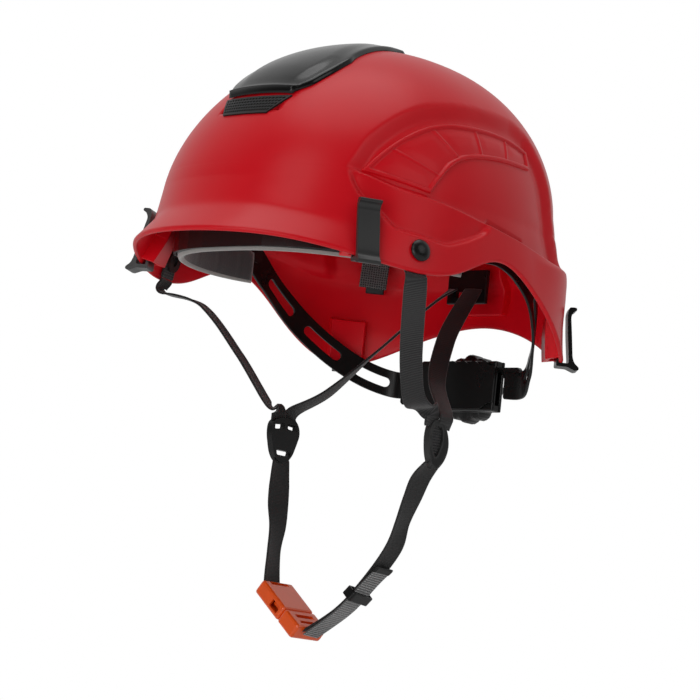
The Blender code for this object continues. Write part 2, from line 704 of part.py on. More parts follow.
def build_headband():
    band = band_strip("brow_band", BAND_STEPS, BAND_WALL, BAND_WALL, BAND_LOW, BAND_TOP)
    for side in (-1, 1):
        bore = turned("pin_bore", pin_hole_profile(), pin_frame(side), steps=16)
        combine(band, bore, "DIFFERENCE")
    keep(band, (0.02, 0.02, 0.02), 0.45)
    pad = band_strip("brow_pad", PAD_STEPS, BAND_WALL + PAD_STANDOFF + PAD_WALL, PAD_WALL, PAD_LOW, PAD_TOP)
    keep(pad, (0.06, 0.06, 0.06), 0.95)


def pin_frame(side):
    """Pivot pin frame: Z points outward from the head."""
    return frame_at((side * BAND_HALF_WIDTH, PIVOT_Y, PIVOT_Z), (0, side, 0), (0, 0, 1))


def pin_hole_profile():
    radius = PIN_RADIUS + GAP
    return ((0, 8 * MM), (radius, 8 * MM), (radius, -8 * MM), (0, -8 * MM))


def build_pins():
    """Shouldered pins that hold the nape arms to the headband."""
    outer = ARM_WALL + 2 * GAP + 0.4 * MM
    for side, word in ((1, "left"), (-1, "right")):
        inner = -BAND_WALL - 2 * GAP
        profile = ((0, outer + 1.4 * MM), (PIN_HEAD, outer + 1.0 * MM), (PIN_HEAD, outer),
                   (PIN_RADIUS, outer), (PIN_RADIUS, inner), (PIN_FLANGE, inner),
                   (PIN_FLANGE, inner - 1.0 * MM), (0, inner - 1.0 * MM))
        keep(turned("temple_pin_" + word, profile, pin_frame(side), steps=20), (0.02, 0.02, 0.02), 0.4)


# ---------------------------------------------------------------- nape arms and adjuster
ARM_SLOTS = ((5, 10), (12, 17), (19, 23))
ARM_KNOTS = 26


def arm_knots(side):
    """Middle line of an arm, from its pivot round to the adjuster's rack tail."""
    x = BAND_HALF_WIDTH + ARM_WALL / 2 + GAP
    start = Vector((side * x, PIVOT_Y - 9 * MM, PIVOT_Z + 1 * MM))
    pivot = Vector((side * x, PIVOT_Y, PIVOT_Z))
    face = tail_face() - GAP - ARM_WALL / 2
    ends = [Vector((side * (RACK_REACH + 5 * MM), face - 0.6 * MM, ADJUSTER_Z + 0.6 * MM)),
            Vector((side * (RACK_REACH - 10 * MM), face - 0.1 * MM, ADJUSTER_Z))]
    if side > 0:
        middle = ((92, 30, 15), (93, 46, 10), (91, 64, -1), (84, 80, -16), (74, 94, -31), (65, 104, -43))
    else:
        middle = ((-92, 24, 3), (-93, 42, -9), (-90, 58, -21), (-83, 75, -33), (-73, 90, -43), (-64, 103, -49))
    return [start, pivot, *[Vector(knot) * MM for knot in middle], *ends]


def tail_face():
    """Y of the rack tails' front face."""
    return ADJUSTER_Y + HOUSING_WALL + GAP


def build_arms():
    for side, word in ((1, "left"), (-1, "right")):
        knots = arm_knots(side)
        lean = [(0, 0, 1)] * len(knots)

        def slots(i, j):
            return j == 1 and any(first <= i < last for first, last in ARM_SLOTS)

        arm = ribbon("nape_arm_" + word, knots, lean, ARM_WIDTH, ARM_WALL, ARM_KNOTS, slots, across=3)
        bore = turned("arm_bore", pin_hole_profile(), pin_frame(side), steps=16)
        combine(arm, bore, "DIFFERENCE")
        keep(arm, (0.018, 0.018, 0.018), 0.35)


def adjuster_frame(y):
    """X to the wearer's left, Y up, Z to the front, at a depth along the wheel's axis."""
    return frame_at((0, y, ADJUSTER_Z), (1, 0, 0), (0, 0, 1))


def build_housing():
    depth = HOUSING_DEPTH
    size = (HOUSING_WIDTH, depth, HOUSING_HEIGHT)
    centre = (0, ADJUSTER_Y + depth / 2, ADJUSTER_Z)
    housing = box("adjuster_housing", size, centre, bevel=1.0 * MM)
    channel_height = 2 * (pitch_radius() + GEAR_MODULE * 1.25 + RACK_BACK) + 2 * GAP
    channel = box("housing_channel", (HOUSING_WIDTH * 1.2, depth, channel_height),
                  (0, ADJUSTER_Y + HOUSING_WALL + depth / 2, ADJUSTER_Z))
    combine(housing, channel, "DIFFERENCE")
    radius = STUB_RADIUS + GAP
    hole = turned("stub_hole", ((0, 6 * MM), (radius, 6 * MM), (radius, -6 * MM), (0, -6 * MM)),
                  adjuster_frame(ADJUSTER_Y), steps=16)
    combine(housing, hole, "DIFFERENCE")
    keep(housing, (0.018, 0.018, 0.018), 0.35)
    y = ADJUSTER_Y + depth + GAP + COVER_WALL / 2
    cover = box("adjuster_cover", (HOUSING_WIDTH, COVER_WALL, HOUSING_HEIGHT), (0, y, ADJUSTER_Z),
                bevel=0.6 * MM)
    radius = SHAFT_RADIUS + GAP
    bore = turned("shaft_hole", ((0, 6 * MM), (radius, 6 * MM), (radius, -6 * MM), (0, -6 * MM)),
                  adjuster_frame(y), steps=20)
    combine(cover, bore, "DIFFERENCE")
    keep(cover, (0.018, 0.018, 0.018), 0.35)


def pitch_radius():
    return GEAR_MODULE * PINION_TEETH / 2


def pinion_outline():
    """Involute teeth, thinned by half the backlash."""
    pitch = pitch_radius()
    base = pitch * cos(radians(PRESSURE_ANGLE))
    root, tip = pitch - 1.2 * GEAR_MODULE, pitch + 0.85 * GEAR_MODULE

    def involute(radius):
        ratio = max(radius / base, 1.0)
        angle = (ratio ** 2 - 1) ** 0.5
        return angle - np.arctan(angle)

    half = (pi * GEAR_MODULE / 2 - GEAR_BACKLASH / 2) / 2 / pitch + involute(pitch)
    flank = [(root, half), *[(base + (tip - base) * k / 3, 0) for k in range(4)]]
    flank = [(radius, half - involute(radius)) for radius, _ in flank]
    points = []
    for tooth in range(PINION_TEETH):
        middle = 2 * pi * tooth / PINION_TEETH
        sides = [(radius, middle - turn) for radius, turn in flank]
        sides += [(radius, middle + turn) for radius, turn in reversed(flank)]
        points += [(radius * cos(turn), radius * sin(turn)) for radius, turn in sides]
    return points


def rack_outline():
    """Outline of a tail with its teeth pointing down: x from the middle outwards, y up from the wheel's axis."""
    pitch = pitch_radius()
    spacing = pi * GEAR_MODULE
    half = (spacing / 2 - GEAR_BACKLASH / 2) / 2
    tip, root = pitch - 0.85 * GEAR_MODULE, pitch + 1.2 * GEAR_MODULE
    slope = tan(radians(PRESSURE_ANGLE))
    back = pitch + GEAR_MODULE * 1.25 + RACK_BACK
    start = -(RACK_TEETH / 2) * spacing
    points = [(start - 1.0 * MM, back), (start - 1.0 * MM, root)]
    for tooth in range(RACK_TEETH):
        middle = start + (tooth + 0.5) * spacing
        wide, thin = half + (root - pitch) * slope, half - (pitch - tip) * slope
        points += [(middle - wide, root), (middle - thin, tip), (middle + thin, tip), (middle + wide, root)]
    grip = HOUSING_WIDTH / 2 + 2.0 * MM
    return points + [(grip, root), (grip + 4 * MM, 4.0 * MM), (RACK_REACH, 4.0 * MM),
                     (RACK_REACH, back - 1.5 * MM), (RACK_REACH - 1.5 * MM, back)]


def build_gears():
    middle = tail_face() + GEAR_WIDTH / 2
    place = adjuster_frame(middle)
    turn = Matrix.Rotation(pi / 2, 4, "Z")
    gear = outline("pinion", pinion_outline(), GEAR_WIDTH - 0.2 * MM, place @ turn)
    gear = to_mesh(gear)
    front = tail_face() - middle
    shaft_end = ADJUSTER_Y + HOUSING_DEPTH + GAP + COVER_WALL + 9.0 * MM - middle
    shaft = turned("pinion_shaft", ((0, -front + HOUSING_WALL), (STUB_RADIUS, -front + HOUSING_WALL),
                                    (STUB_RADIUS, 0), (SHAFT_RADIUS, 0), (SHAFT_RADIUS, -shaft_end),
                                    (0, -shaft_end)), place, steps=20)
    combine(gear, shaft, "UNION")
    keep(gear, (0.05, 0.05, 0.05), 0.4)
    for side, word in ((1, "left"), (-1, "right")):
        spin = Matrix.Rotation(0.0 if side > 0 else pi, 4, "Z")
        rack = outline("rack_tail_" + word, rack_outline(), GEAR_WIDTH, place @ spin)
        keep(to_mesh(rack), (0.02, 0.02, 0.02), 0.4)


def build_knob():
    near = ADJUSTER_Y + HOUSING_DEPTH + GAP + COVER_WALL + 0.6 * MM
    points = []
    count = KNOB_LOBES * 6
    for i in range(count):
        turn = 2 * pi * i / count
        radius = KNOB_RADIUS - KNOB_LOBE_HEIGHT * (0.5 - 0.5 * cos(KNOB_LOBES * turn)) ** 2
        points.append((radius * cos(turn), radius * sin(turn)))
    knob = to_mesh(outline("adjuster_knob", points, KNOB_DEPTH, adjuster_frame(near + KNOB_DEPTH / 2)))
    groove = turned("knob_groove", ((8.5 * MM, 4 * MM), (17 * MM, 4 * MM), (17 * MM, -4 * MM),
                                    (8.5 * MM, -4 * MM), (8.5 * MM, 4 * MM)), adjuster_frame(near), steps=24)
    combine(knob, groove, "DIFFERENCE")
    radius = SHAFT_RADIUS + GAP
    depth = 9.5 * MM
    bore = turned("knob_bore", ((0, depth), (radius, depth), (radius, -depth), (0, -depth)),
                  adjuster_frame(near), steps=20)
    combine(knob, bore, "DIFFERENCE")
    keep(knob, (0.02, 0.02, 0.02), 0.45)
    spring_y = near - 0.6 * MM + GAP
    bend = [(12.5 * MM * cos(t), 12.5 * MM * sin(t)) for t in np.linspace(radians(40), radians(140), 9)]
    knots = [Vector((x, spring_y + 1.2 * MM, ADJUSTER_Z + z)) for x, z in bend]
    spring = ribbon("detent_spring", knots, [(0, 1, 0)] * len(knots), 1.8 * MM, 0.6 * MM, 12)
    keep(spring, (0.6, 0.6, 0.62), 0.3, 1.0)


# ---------------------------------------------------------------- chin strap
def divider(side):
    return Vector((side * DIVIDER_X, DIVIDER_Y, DIVIDER_Z))


def rear_start(side):
    """Where a rear strap leaves the rear anchor."""
    return Vector((side * 8.0 * MM, SHELL_REAR - REAR_BLOCK_DEPTH - 7.5 * MM, 9.0 * MM))


def build_upper_straps():
    for side, word in ((1, "left"), (-1, "right")):
        end = divider(side)
        wall = wall_frame(side * ANCHOR_ANGLE, ANCHOR_HEIGHT).to_3x3()
        along = (wall @ Vector((1, 0, 0))) * side
        down = wall @ Vector((0, -1, 0))
        start = tab_end(side) + down * 2.2 * MM
        if side > 0:
            middle = ((81, -29, -49), (72, -16, -65), (66, -3, -80))
        else:
            middle = ((-87, -35, -27), (-75, -11, -53), (-66, 10, -80))
        last = end + Vector((0, -5.0 * MM, 11.5 * MM))
        knots = [start, start + down * 6 * MM, *[Vector(knot) * MM for knot in middle],
                 last + Vector((0, -0.5 * MM, 7 * MM)), last]
        lay = [along, along, along, along, Vector((side * 0.3, 0.95, 0)), *[Vector((0.0, 1.0, 0))] * 2]
        strap = ribbon("front_strap_" + word, knots, lay, WEBBING_WIDTH, WEBBING_WALL, 16)
        keep(strap, (0.02, 0.02, 0.02), 0.85)
        start = rear_start(side)
        if side > 0:
            middle = ((15, 88, -14), (23, 70, -33), (36, 51, -60))
        else:
            middle = ((-16, 97, -5), (-31, 73, -35), (-48, 47, -68))
        last = end + Vector((0, 9.0 * MM, 11.5 * MM))
        knots = [start, *[Vector(knot) * MM for knot in middle], last + Vector((0, 0.5 * MM, 7 * MM)), last]
        lay = [Vector((side, 0, -0.3)), Vector((side, 0.3, -0.4)), Vector((side * 0.8, 0.7, 0)),
               Vector((side * 0.3, 0.95, 0)), *[Vector((0, 1.0, 0))] * 2]
        strap = ribbon("rear_strap_" + word, knots, lay, REAR_WEBBING_WIDTH, WEBBING_WALL, 16)
        keep(strap, (0.02, 0.02, 0.02), 0.85)
        plate = [(-9, -11), (-5, -17), (5, -17), (9, -11), (11, 4), (8, 9), (-8, 9), (-11, 4)]
        points = [(x * MM, y * MM) for x, y in plate]
        place = frame_at(end + Vector((0, 1.5 * MM, 0)), (0, 1, 0), (0, 0, 1))
        body = to_mesh(outline("divider_" + word, points, DIVIDER_WALL, place))
        slot = box("divider_slot", (DIVIDER_WALL * 3, 15 * MM, 2.4 * MM), end + Vector((0, 1.5 * MM, -7 * MM)))
        combine(body, slot, "DIFFERENCE")
        keep(body, (0.02, 0.02, 0.02), 0.4)


def buckle_axes():
    """Axis the tongue leaves along, the buckle's width, and its thickness direction."""
    along = Vector((0.78, 0.0, -0.63)).normalized()
    wide = Vector((0.0, 1.0, 0.0))
    return along, wide, along.cross(wide).normalized()


def buckle_frame(distance):
    """X across the buckle, Y along it towards the left strap, at a distance from its middle."""
    along, wide, _ = buckle_axes()
    return frame_at(Vector(BUCKLE_CENTRE) + along * distance, wide, along)


def buckle_box(name, size, shift, bevel=0.0):
    """A box in the buckle's frame: size and shift are (across, along, through)."""
    item = box(name, size, (0, 0, 0), bevel=bevel)
    item.matrix_world = buckle_frame(0.0) @ Matrix.Translation(Vector(shift))
    return item


def build_buckle():
    length, width, depth = BUCKLE_LENGTH, BUCKLE_WIDTH, BUCKLE_DEPTH
    female = buckle_box("buckle_female", (width, length, depth), (0, -length / 2, 0), bevel=1.6 * MM)
    inner = (width - 2 * BUCKLE_WALL, TONGUE_LENGTH + 4 * MM, depth - 2 * BUCKLE_WALL)
    pocket = buckle_box("buckle_pocket", inner, (0, -(TONGUE_LENGTH + 4 * MM) / 2 + 2 * MM, 0))
    combine(female, pocket, "DIFFERENCE")
    for side in (-1, 1):
        window = buckle_box("buckle_window", (8 * MM, TONGUE_LENGTH / 2, depth * 0.5),
                            (side * width / 2, -TONGUE_LENGTH / 2 + 0.5 * MM, 0))
        combine(female, window, "DIFFERENCE")
    slot = WEBBING_WIDTH + 1.5 * MM
    bar = buckle_box("buckle_bar_slot", (slot, 2.6 * MM, depth * 2), (0, -length + 2.6 * MM, 0))
    combine(female, bar, "DIFFERENCE")
    keep(female, (0.85, 0.16, 0.01), 0.35)
    male = buckle_box("buckle_male", (width, MALE_LENGTH, depth), (0, MALE_LENGTH / 2 + GAP, 0), bevel=1.6 * MM)
    tongue = buckle_box("buckle_tongue", (TONGUE_WIDTH, TONGUE_LENGTH, TONGUE_WALL),
                        (0, -TONGUE_LENGTH / 2 + 2 * MM, 0))
    combine(male, tongue, "UNION")
    for word, place, gap in (("near", 6 * MM, 3.0 * MM), ("far", 11.5 * MM, 2.4 * MM)):
        ladder = buckle_box("buckle_ladder_" + word, (slot, gap, depth * 2), (0, place, 0))
        combine(male, ladder, "DIFFERENCE")
    keep(male, (0.85, 0.16, 0.01), 0.35)
    for side, word in ((1, "left"), (-1, "right")):
        reach = TONGUE_LENGTH - 4 * MM
        prong = buckle_box("buckle_prong_" + word, (PRONG_WIDTH, reach, TONGUE_WALL),
                           (side * (width / 2 - BUCKLE_WALL - PRONG_WIDTH / 2 - 1.6 * MM),
                            -reach / 2 - 0.1 * MM, 0), bevel=0.5 * MM)
        keep(prong, (0.85, 0.16, 0.01), 0.35)


def build_lower_straps():
    along, wide, through = buckle_axes()
    centre = Vector(BUCKLE_CENTRE)
    top = centre - along * (BUCKLE_LENGTH + GAP + 0.5 * MM)
    foot = Vector((0, 1.5 * MM, -17.8 * MM))
    knots = [divider(-1) + foot, Vector((-60, 23, -140)) * MM, Vector((-59, 23, -168)) * MM,
             top - along * 4 * MM, top]
    strap = ribbon("chin_strap_right", knots, [wide] * 5, WEBBING_WIDTH, WEBBING_WALL, 14)
    keep(strap, (0.02, 0.02, 0.02), 0.85)
    exit_point = centre + along * 18.2 * MM
    start = divider(1) + foot
    knots = [start, Vector((47, 26, -134)) * MM, Vector((38, 29, -150)) * MM, Vector((31, 31, -166)) * MM,
             Vector((16, 30, -186)) * MM, Vector((0, 27, -204)) * MM, exit_point + Vector((0, 0, 0.6 * MM))]
    strap = ribbon("chin_strap_left", knots, [wide] * 7, WEBBING_WIDTH, WEBBING_WALL, 20)
    keep(strap, (0.02, 0.02, 0.02), 0.85)
    drop = Vector((0.74, 0, -0.66)).normalized() * (WEBBING_WALL + 0.6 * MM)
    tail = [exit_point + drop * 0.8 + Vector((0, 0, -0.2 * MM)), Vector((0, 27, -204)) * MM + drop,
            Vector((16, 30, -186)) * MM + drop, Vector((25, 31, -177)) * MM + drop * 1.15]
    strap = ribbon("strap_tail", tail, [wide] * 4, WEBBING_WIDTH, WEBBING_WALL, 12)
    keep(strap, (0.02, 0.02, 0.02), 0.85)


def build_keeper():
    """A band that holds the spare webbing against the chin strap."""
    centre = Vector((9.0, 28.8, -195.6)) * MM
    run = (Vector((16, 30, -186)) - Vector((0, 27, -204))).normalized()
    place = frame_at(centre, run, (0, 1, 0))
    outer = box("strap_keeper", (KEEPER_WIDTH, WEBBING_WIDTH + 5 * MM, 8.0 * MM), (0, 0, 0), bevel=0.8 * MM)
    outer.matrix_world = place
    inner = box("keeper_bore", (KEEPER_WIDTH * 2, WEBBING_WIDTH + 1.6 * MM, 5.4 * MM), (0, 0, 0))
    inner.matrix_world = place
    combine(outer, inner, "DIFFERENCE")
    keep(outer, (0.015, 0.015, 0.015), 0.4)


def main():
    fresh_scene()
    build_shell()
    build_vent()
    build_clips()
    build_anchors()
    build_rear_anchor()
    build_cradle()
    build_headband()
    build_pins()
    build_arms()
    build_housing()
    build_gears()
    build_knob()
    build_upper_straps()
    build_buckle()
    build_lower_straps()
    build_keeper()


main()
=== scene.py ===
from math import cos, pi, radians, sin

import bmesh
import bpy
import numpy as np
from mathutils import Matrix, Vector
from mathutils.geometry import delaunay_2d_cdt


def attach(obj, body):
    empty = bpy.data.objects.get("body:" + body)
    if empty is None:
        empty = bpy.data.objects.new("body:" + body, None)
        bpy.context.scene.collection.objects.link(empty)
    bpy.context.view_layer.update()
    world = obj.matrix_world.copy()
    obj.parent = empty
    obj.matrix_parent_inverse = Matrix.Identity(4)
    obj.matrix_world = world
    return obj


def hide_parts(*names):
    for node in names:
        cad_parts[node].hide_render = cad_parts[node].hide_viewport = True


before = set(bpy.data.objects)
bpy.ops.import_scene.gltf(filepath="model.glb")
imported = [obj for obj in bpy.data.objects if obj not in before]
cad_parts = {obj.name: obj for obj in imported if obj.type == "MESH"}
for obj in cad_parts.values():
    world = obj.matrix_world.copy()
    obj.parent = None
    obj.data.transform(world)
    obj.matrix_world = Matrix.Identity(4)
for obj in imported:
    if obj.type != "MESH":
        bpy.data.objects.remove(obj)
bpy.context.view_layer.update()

mm = 0.001
bothSides = (("left", 1), ("right", -1))
rimCorners = (("front_left", 46.0), ("front_right", -46.0), ("rear_left", 139.0), ("rear_right", -139.0))


# small helpers
def smooth(t):
    t = np.clip(t, 0, 1)
    return t * t * (3 - 2 * t)


def ramp(t, soft=0.06):  # a clipped slope with rounded corners
    return 0.5 * (np.sqrt(t * t + soft * soft) - np.sqrt((t - 1) ** 2 + soft * soft) + 1)


def curveOf(knots, calm=True):  # value against the angle from the front, the same on both sides
    at, value = np.array(knots, float).T
    step = np.diff(at)
    rise = np.diff(value) / step
    slopes = np.zeros(len(at))
    if calm:
        both = rise[:-1] * rise[1:] > 0
        total = np.where(both, rise[:-1] + rise[1:], 1)
        slopes[1:-1] = np.where(both, 2 * rise[:-1] * rise[1:] / total, 0)
    else:
        system = np.eye(len(at))
        right = np.zeros(len(at))
        for i in range(1, len(at) - 1):
            system[i, i - 1:i + 2] = 1 / step[i - 1], 2 / step[i - 1] + 2 / step[i], 1 / step[i]
            right[i] = 3 * (rise[i - 1] / step[i - 1] + rise[i] / step[i])
        slopes = np.linalg.solve(system, right)

    def read(place):
        place = np.clip(np.asarray(place, float), at[0], at[-1])
        i = np.clip(np.searchsorted(at, place, side="right") - 1, 0, len(at) - 2)
        t = (place - at[i]) / step[i]
        bend = step[i] * (slopes[i] * t * (1 - t) ** 2 - slopes[i + 1] * t * t * (1 - t))
        return value[i] + (value[i + 1] - value[i]) * t * t * (3 - 2 * t) + bend
    return read


def addPiece(name, points, faces, body, material, stands=(), slot=None, sharp=None, cloth=None):
    mesh = bpy.data.meshes.new(name)
    mesh.from_pydata((np.asarray(points, float) * mm).tolist(), [], faces)
    shape = bmesh.new()
    shape.from_mesh(mesh)
    bmesh.ops.recalc_face_normals(shape, faces=shape.faces)
    shape.to_mesh(mesh)
    shape.free()
    mesh.shade_smooth()
    if sharp:
        mesh.set_sharp_from_angle(angle=radians(sharp))
    mesh.materials.append(material)
    if cloth is not None:  # millimetres across and along the cloth, for its weave
        layer = mesh.uv_layers.new(name="cloth")
        order = np.zeros(len(mesh.loops), np.int32)
        mesh.loops.foreach_get("vertex_index", order)
        layer.data.foreach_set("uv", np.asarray(cloth, np.float32)[order].ravel())
    piece = bpy.data.objects.new(name, mesh)
    bpy.context.scene.collection.objects.link(piece)
    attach(piece, body)
    if stands:
        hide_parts(*stands)
    return piece


def stripFaces(rows, columns, closed=False, start=0):  # quads of a grid of points
    around = columns if closed else columns - 1
    return [(start + r * columns + c, start + r * columns + (c + 1) % columns,
             start + (r + 1) * columns + (c + 1) % columns, start + (r + 1) * columns + c)
            for r in range(rows - 1) for c in range(around)]


def sweepFaces(rings, points):  # a closed tube with flat ends
    ends = [tuple(range(points)), tuple((rings - 1) * points + i for i in range(points))]
    return stripFaces(rings, points, closed=True) + ends


def unit(vectors):
    vectors = np.asarray(vectors, float)
    return vectors / np.linalg.norm(vectors, axis=-1, keepdims=True)


def pathThrough(knots, count, place=None):  # a smooth curve through knots, evenly spaced unless placed
    knots = np.array([tuple(k) for k in knots], float)
    full = np.vstack([2 * knots[0] - knots[1], knots, 2 * knots[-1] - knots[-2]])

    def at(place):
        k = np.clip(place.astype(int), 0, len(knots) - 2)
        t = (place - k)[:, None]
        a, b, c, d = full[k], full[k + 1], full[k + 2], full[k + 3]
        return 0.5 * (2 * b + (c - a) * t + (2 * a - 5 * b + 4 * c - d) * t ** 2
                      + (3 * b - a - 3 * c + d) * t ** 3)

    if place is None:
        fine = np.linspace(0, len(knots) - 1, 400)
        run = np.concatenate([[0], np.cumsum(np.linalg.norm(np.diff(at(fine), axis=0), axis=1))])
        place = np.interp(np.linspace(0, run[-1], count), run, fine)
    return at(place), place


# finishes
def newFinish(name):
    finish = bpy.data.materials.new(name)
    finish.use_nodes = True
    tree = finish.node_tree
    return finish, tree, tree.nodes["Principled BSDF"]


def addNode(tree, kind, values=(), **settings):
    node = tree.nodes.new(kind)
    for key, value in settings.items():
        setattr(node, key, value)
    for key, value in dict(values).items():
        node.inputs[key].default_value = value
    return node


def texture(tree, place, kind, values=(), **settings):  # laid in the piece's own space or its cloth map
    node = addNode(tree, kind, values, **settings)
    where = addNode(tree, "ShaderNodeTexCoord")
    tree.links.new(where.outputs[place], node.inputs["Vector"])
    return node


def combine(tree, operation, first, second):
    node = addNode(tree, "ShaderNodeMath", operation=operation)
    tree.links.new(first, node.inputs[0])
    tree.links.new(second, node.inputs[1])
    return node.outputs["Value"]


def fromTo(tree, value, low, high, start=0.0, end=1.0):  # start to end becomes low to high
    node = addNode(tree, "ShaderNodeMapRange",
                   {"From Min": start, "From Max": end, "To Min": low, "To Max": high})
    tree.links.new(value, node.inputs["Value"])
    return node.outputs["Result"]


def tone(tree, share, first, second):  # first is a colour or a socket, second a colour
    node = addNode(tree, "ShaderNodeMix", {"B": (*second, 1)}, data_type="RGBA")
    tree.links.new(share, node.inputs["Factor"])
    if isinstance(first, tuple):
        node.inputs["A"].default_value = (*first, 1)
    else:
        tree.links.new(first, node.inputs["A"])
    return node.outputs["Result"]


def settle(tree, shader, colour, rough, relief, strength, depth):  # depth in millimetres
    bump = addNode(tree, "ShaderNodeBump", {"Strength": strength, "Distance": depth * mm})
    tree.links.new(relief, bump.inputs["Height"])
    for socket, key in ((colour, "Base Color"), (rough, "Roughness"), (bump.outputs["Normal"], "Normal")):
        tree.links.new(socket, shader.inputs[key])


def moulded(name, colour, rough, grain=900.0, grainHeight=0.02, tint=0.12, coat=0.0, worn=0.0, shine=0.5):
    # injection-moulded plastic: cloudy tone, a fine grain, and edges rubbed a little paler
    finish, tree, shader = newFinish(name)
    cloud = texture(tree, "Object", "ShaderNodeTexNoise",
                    {"Scale": 30.0, "Detail": 4.0, "Roughness": 0.55}).outputs["Fac"]
    fine = texture(tree, "Object", "ShaderNodeTexNoise", {"Scale": grain, "Detail": 3.0}).outputs["Fac"]
    dark, light = (tuple(min(c * share, 1) for c in colour) for share in (1 - tint, 1 + tint))
    shade = tone(tree, cloud, dark, light)
    if worn:
        shape = addNode(tree, "ShaderNodeNewGeometry")
        edge = fromTo(tree, shape.outputs["Pointiness"], 0.0, worn, 0.58, 0.75)
        shade = tone(tree, edge, shade, (0.5, 0.5, 0.5))
    settle(tree, shader, shade, fromTo(tree, cloud, rough * 0.88, rough * 1.14), fine, 0.35, grainHeight)
    shader.inputs["Coat Weight"].default_value = coat
    shader.inputs["Coat Roughness"].default_value = 0.12
    shader.inputs["Specular IOR Level"].default_value = shine
    return finish


def woven(name, colour, thread, pitchAlong, pitchAcross, depth=0.12):
    # ribs run across the webbing; its cloth map holds millimetres across and along it
    finish, tree, shader = newFinish(name)
    perMm = 0.314  # a wave's scale for one band in each millimetre
    ribs = texture(tree, "UV", "ShaderNodeTexWave",
                   {"Scale": perMm / pitchAlong, "Distortion": 0.25, "Detail": 1.0, "Detail Scale": 1.5},
                   bands_direction="Y").outputs["Fac"]
    yarns = texture(tree, "UV", "ShaderNodeTexWave",
                    {"Scale": perMm / pitchAcross, "Distortion": 0.6, "Detail": 2.0, "Detail Scale": 2.0},
                    bands_direction="X").outputs["Fac"]
    fuzz = texture(tree, "UV", "ShaderNodeTexNoise", {"Scale": 3.2, "Detail": 6.0, "Roughness": 0.7})
    weave = combine(tree, "MULTIPLY", ribs, yarns)
    height = combine(tree, "ADD", weave, fuzz.outputs["Fac"])
    shade = tone(tree, fromTo(tree, height, 0.0, 1.0, 0.35, 1.5), colour, thread)
    settle(tree, shader, shade, fromTo(tree, weave, 0.75, 0.6), height, 0.6, depth)
    shader.inputs["Sheen Weight"].default_value = 0.35
    shader.inputs["Sheen Roughness"].default_value = 0.4
    return finish


def openMesh(name, ground, thread, cell):  # spacer fabric: light threads round dark cells
    finish, tree, shader = newFinish(name)
    cells = texture(tree, "UV", "ShaderNodeTexVoronoi", {"Scale": 1 / cell, "Randomness": 0.25},
                    feature="DISTANCE_TO_EDGE")
    fuzz = texture(tree, "UV", "ShaderNodeTexNoise", {"Scale": 2.4, "Detail": 5.0})
    wall = fromTo(tree, cells.outputs["Distance"], 1.0, 0.0, 0.05, 0.22)
    shade = tone(tree, combine(tree, "MULTIPLY", wall, fuzz.outputs["Fac"]), ground, thread)
    settle(tree, shader, shade, fromTo(tree, wall, 0.8, 0.56), wall, 0.8, 0.25)
    shader.inputs["Sheen Weight"].default_value = 0.3
    return finish


def foamCloth(name, colour, nap):  # napped cloth over foam
    finish, tree, shader = newFinish(name)
    fuzz = texture(tree, "Object", "ShaderNodeTexNoise",
                   {"Scale": 1400.0, "Detail": 6.0, "Roughness": 0.75}).outputs["Fac"]
    knit = texture(tree, "Object", "ShaderNodeTexVoronoi", {"Scale": 900.0})
    height = combine(tree, "MULTIPLY", fuzz, knit.outputs["Distance"])
    settle(tree, shader, tone(tree, fuzz, colour, nap), fromTo(tree, fuzz, 0.85, 1.0), height, 0.7, 0.18)
    shader.inputs["Sheen Weight"].default_value = 0.5
    return finish


shellRed = moulded("shellRed", (0.66, 0.0035, 0.011), 0.34, grain=1500.0, grainHeight=0.015, tint=0.05,
                   shine=0.28)
# the same red plastic, painted lighter inside the shell: painted light standing in for the light that falls
# on the inner wall
insideRedPaintedLight = moulded("insideRedPaintedLight", (0.80, 0.004, 0.014), 0.34, grainHeight=0.03, tint=0.06, shine=0.2)
blackGloss = moulded("blackGloss", (0.006, 0.006, 0.006), 0.20, grainHeight=0.006, coat=0.12, shine=0.3)
blackSatin = moulded("blackSatin", (0.006, 0.006, 0.006), 0.28, grainHeight=0.02, worn=0.05, shine=0.35)
blackMatt = moulded("blackMatt", (0.007, 0.007, 0.007), 0.42, grain=1300.0, grainHeight=0.04, worn=0.04,
                    shine=0.35)
buckleOrange = moulded("buckleOrange", (0.92, 0.105, 0.008), 0.30, grainHeight=0.015, tint=0.08, coat=0.25)
springSteel = moulded("springSteel", (0.55, 0.55, 0.57), 0.28, grain=2200.0, grainHeight=0.01)
springSteel.node_tree.nodes["Principled BSDF"].inputs["Metallic"].default_value = 1.0
webbingBlack = woven("webbingBlack", (0.006, 0.006, 0.007), (0.050, 0.048, 0.048), 1.7, 0.55)
webbingPlain = woven("webbingPlain", (0.006, 0.006, 0.006), (0.026, 0.025, 0.025), 0.9, 0.45, depth=0.06)
webbingGrey = woven("webbingGrey", (0.010, 0.010, 0.011), (0.62, 0.62, 0.62), 1.7, 0.8, depth=0.2)
meshTextile = openMesh("meshTextile", (0.006, 0.006, 0.006), (0.30, 0.30, 0.30), 1.5)
padCloth = foamCloth("padCloth", (0.014, 0.014, 0.015), (0.050, 0.050, 0.052))
# pale cloth for the brow pad's lower edge: a painted highlight where the foam's edge is lit from below
padEdgePaintedLight = foamCloth("padEdgePaintedLight", (0.20, 0.19, 0.18), (0.38, 0.37, 0.35))
print("finishes ready")


# stage, lights and camera
stage = dict(floor=-0.345, floorSize=6.0, pale=(0.86, 0.86, 0.86))
view = dict(back=(0.66290568, -0.7332217, -0.15146616), right=(0.74835601, 0.6550555, 0.10423808),
            up=(0.02278912, -0.18245062, 0.98295088), distance=1.8948, lens=158.9,
            shift=(0.00124, -0.112))
lamps = dict(top=((0.05, -0.15, 1.6), 1.5, 9.0), front=((0.5, -2.0, 1.3), 1.4, 7.5),
             side=((1.9, 0.2, 0.9), 1.2, 4.0), low=((0.4, -1.3, -0.2), 1.0, 6.5))
sky = dict(behind=0.62, front=0.05, edge=(-0.25, 0.5))


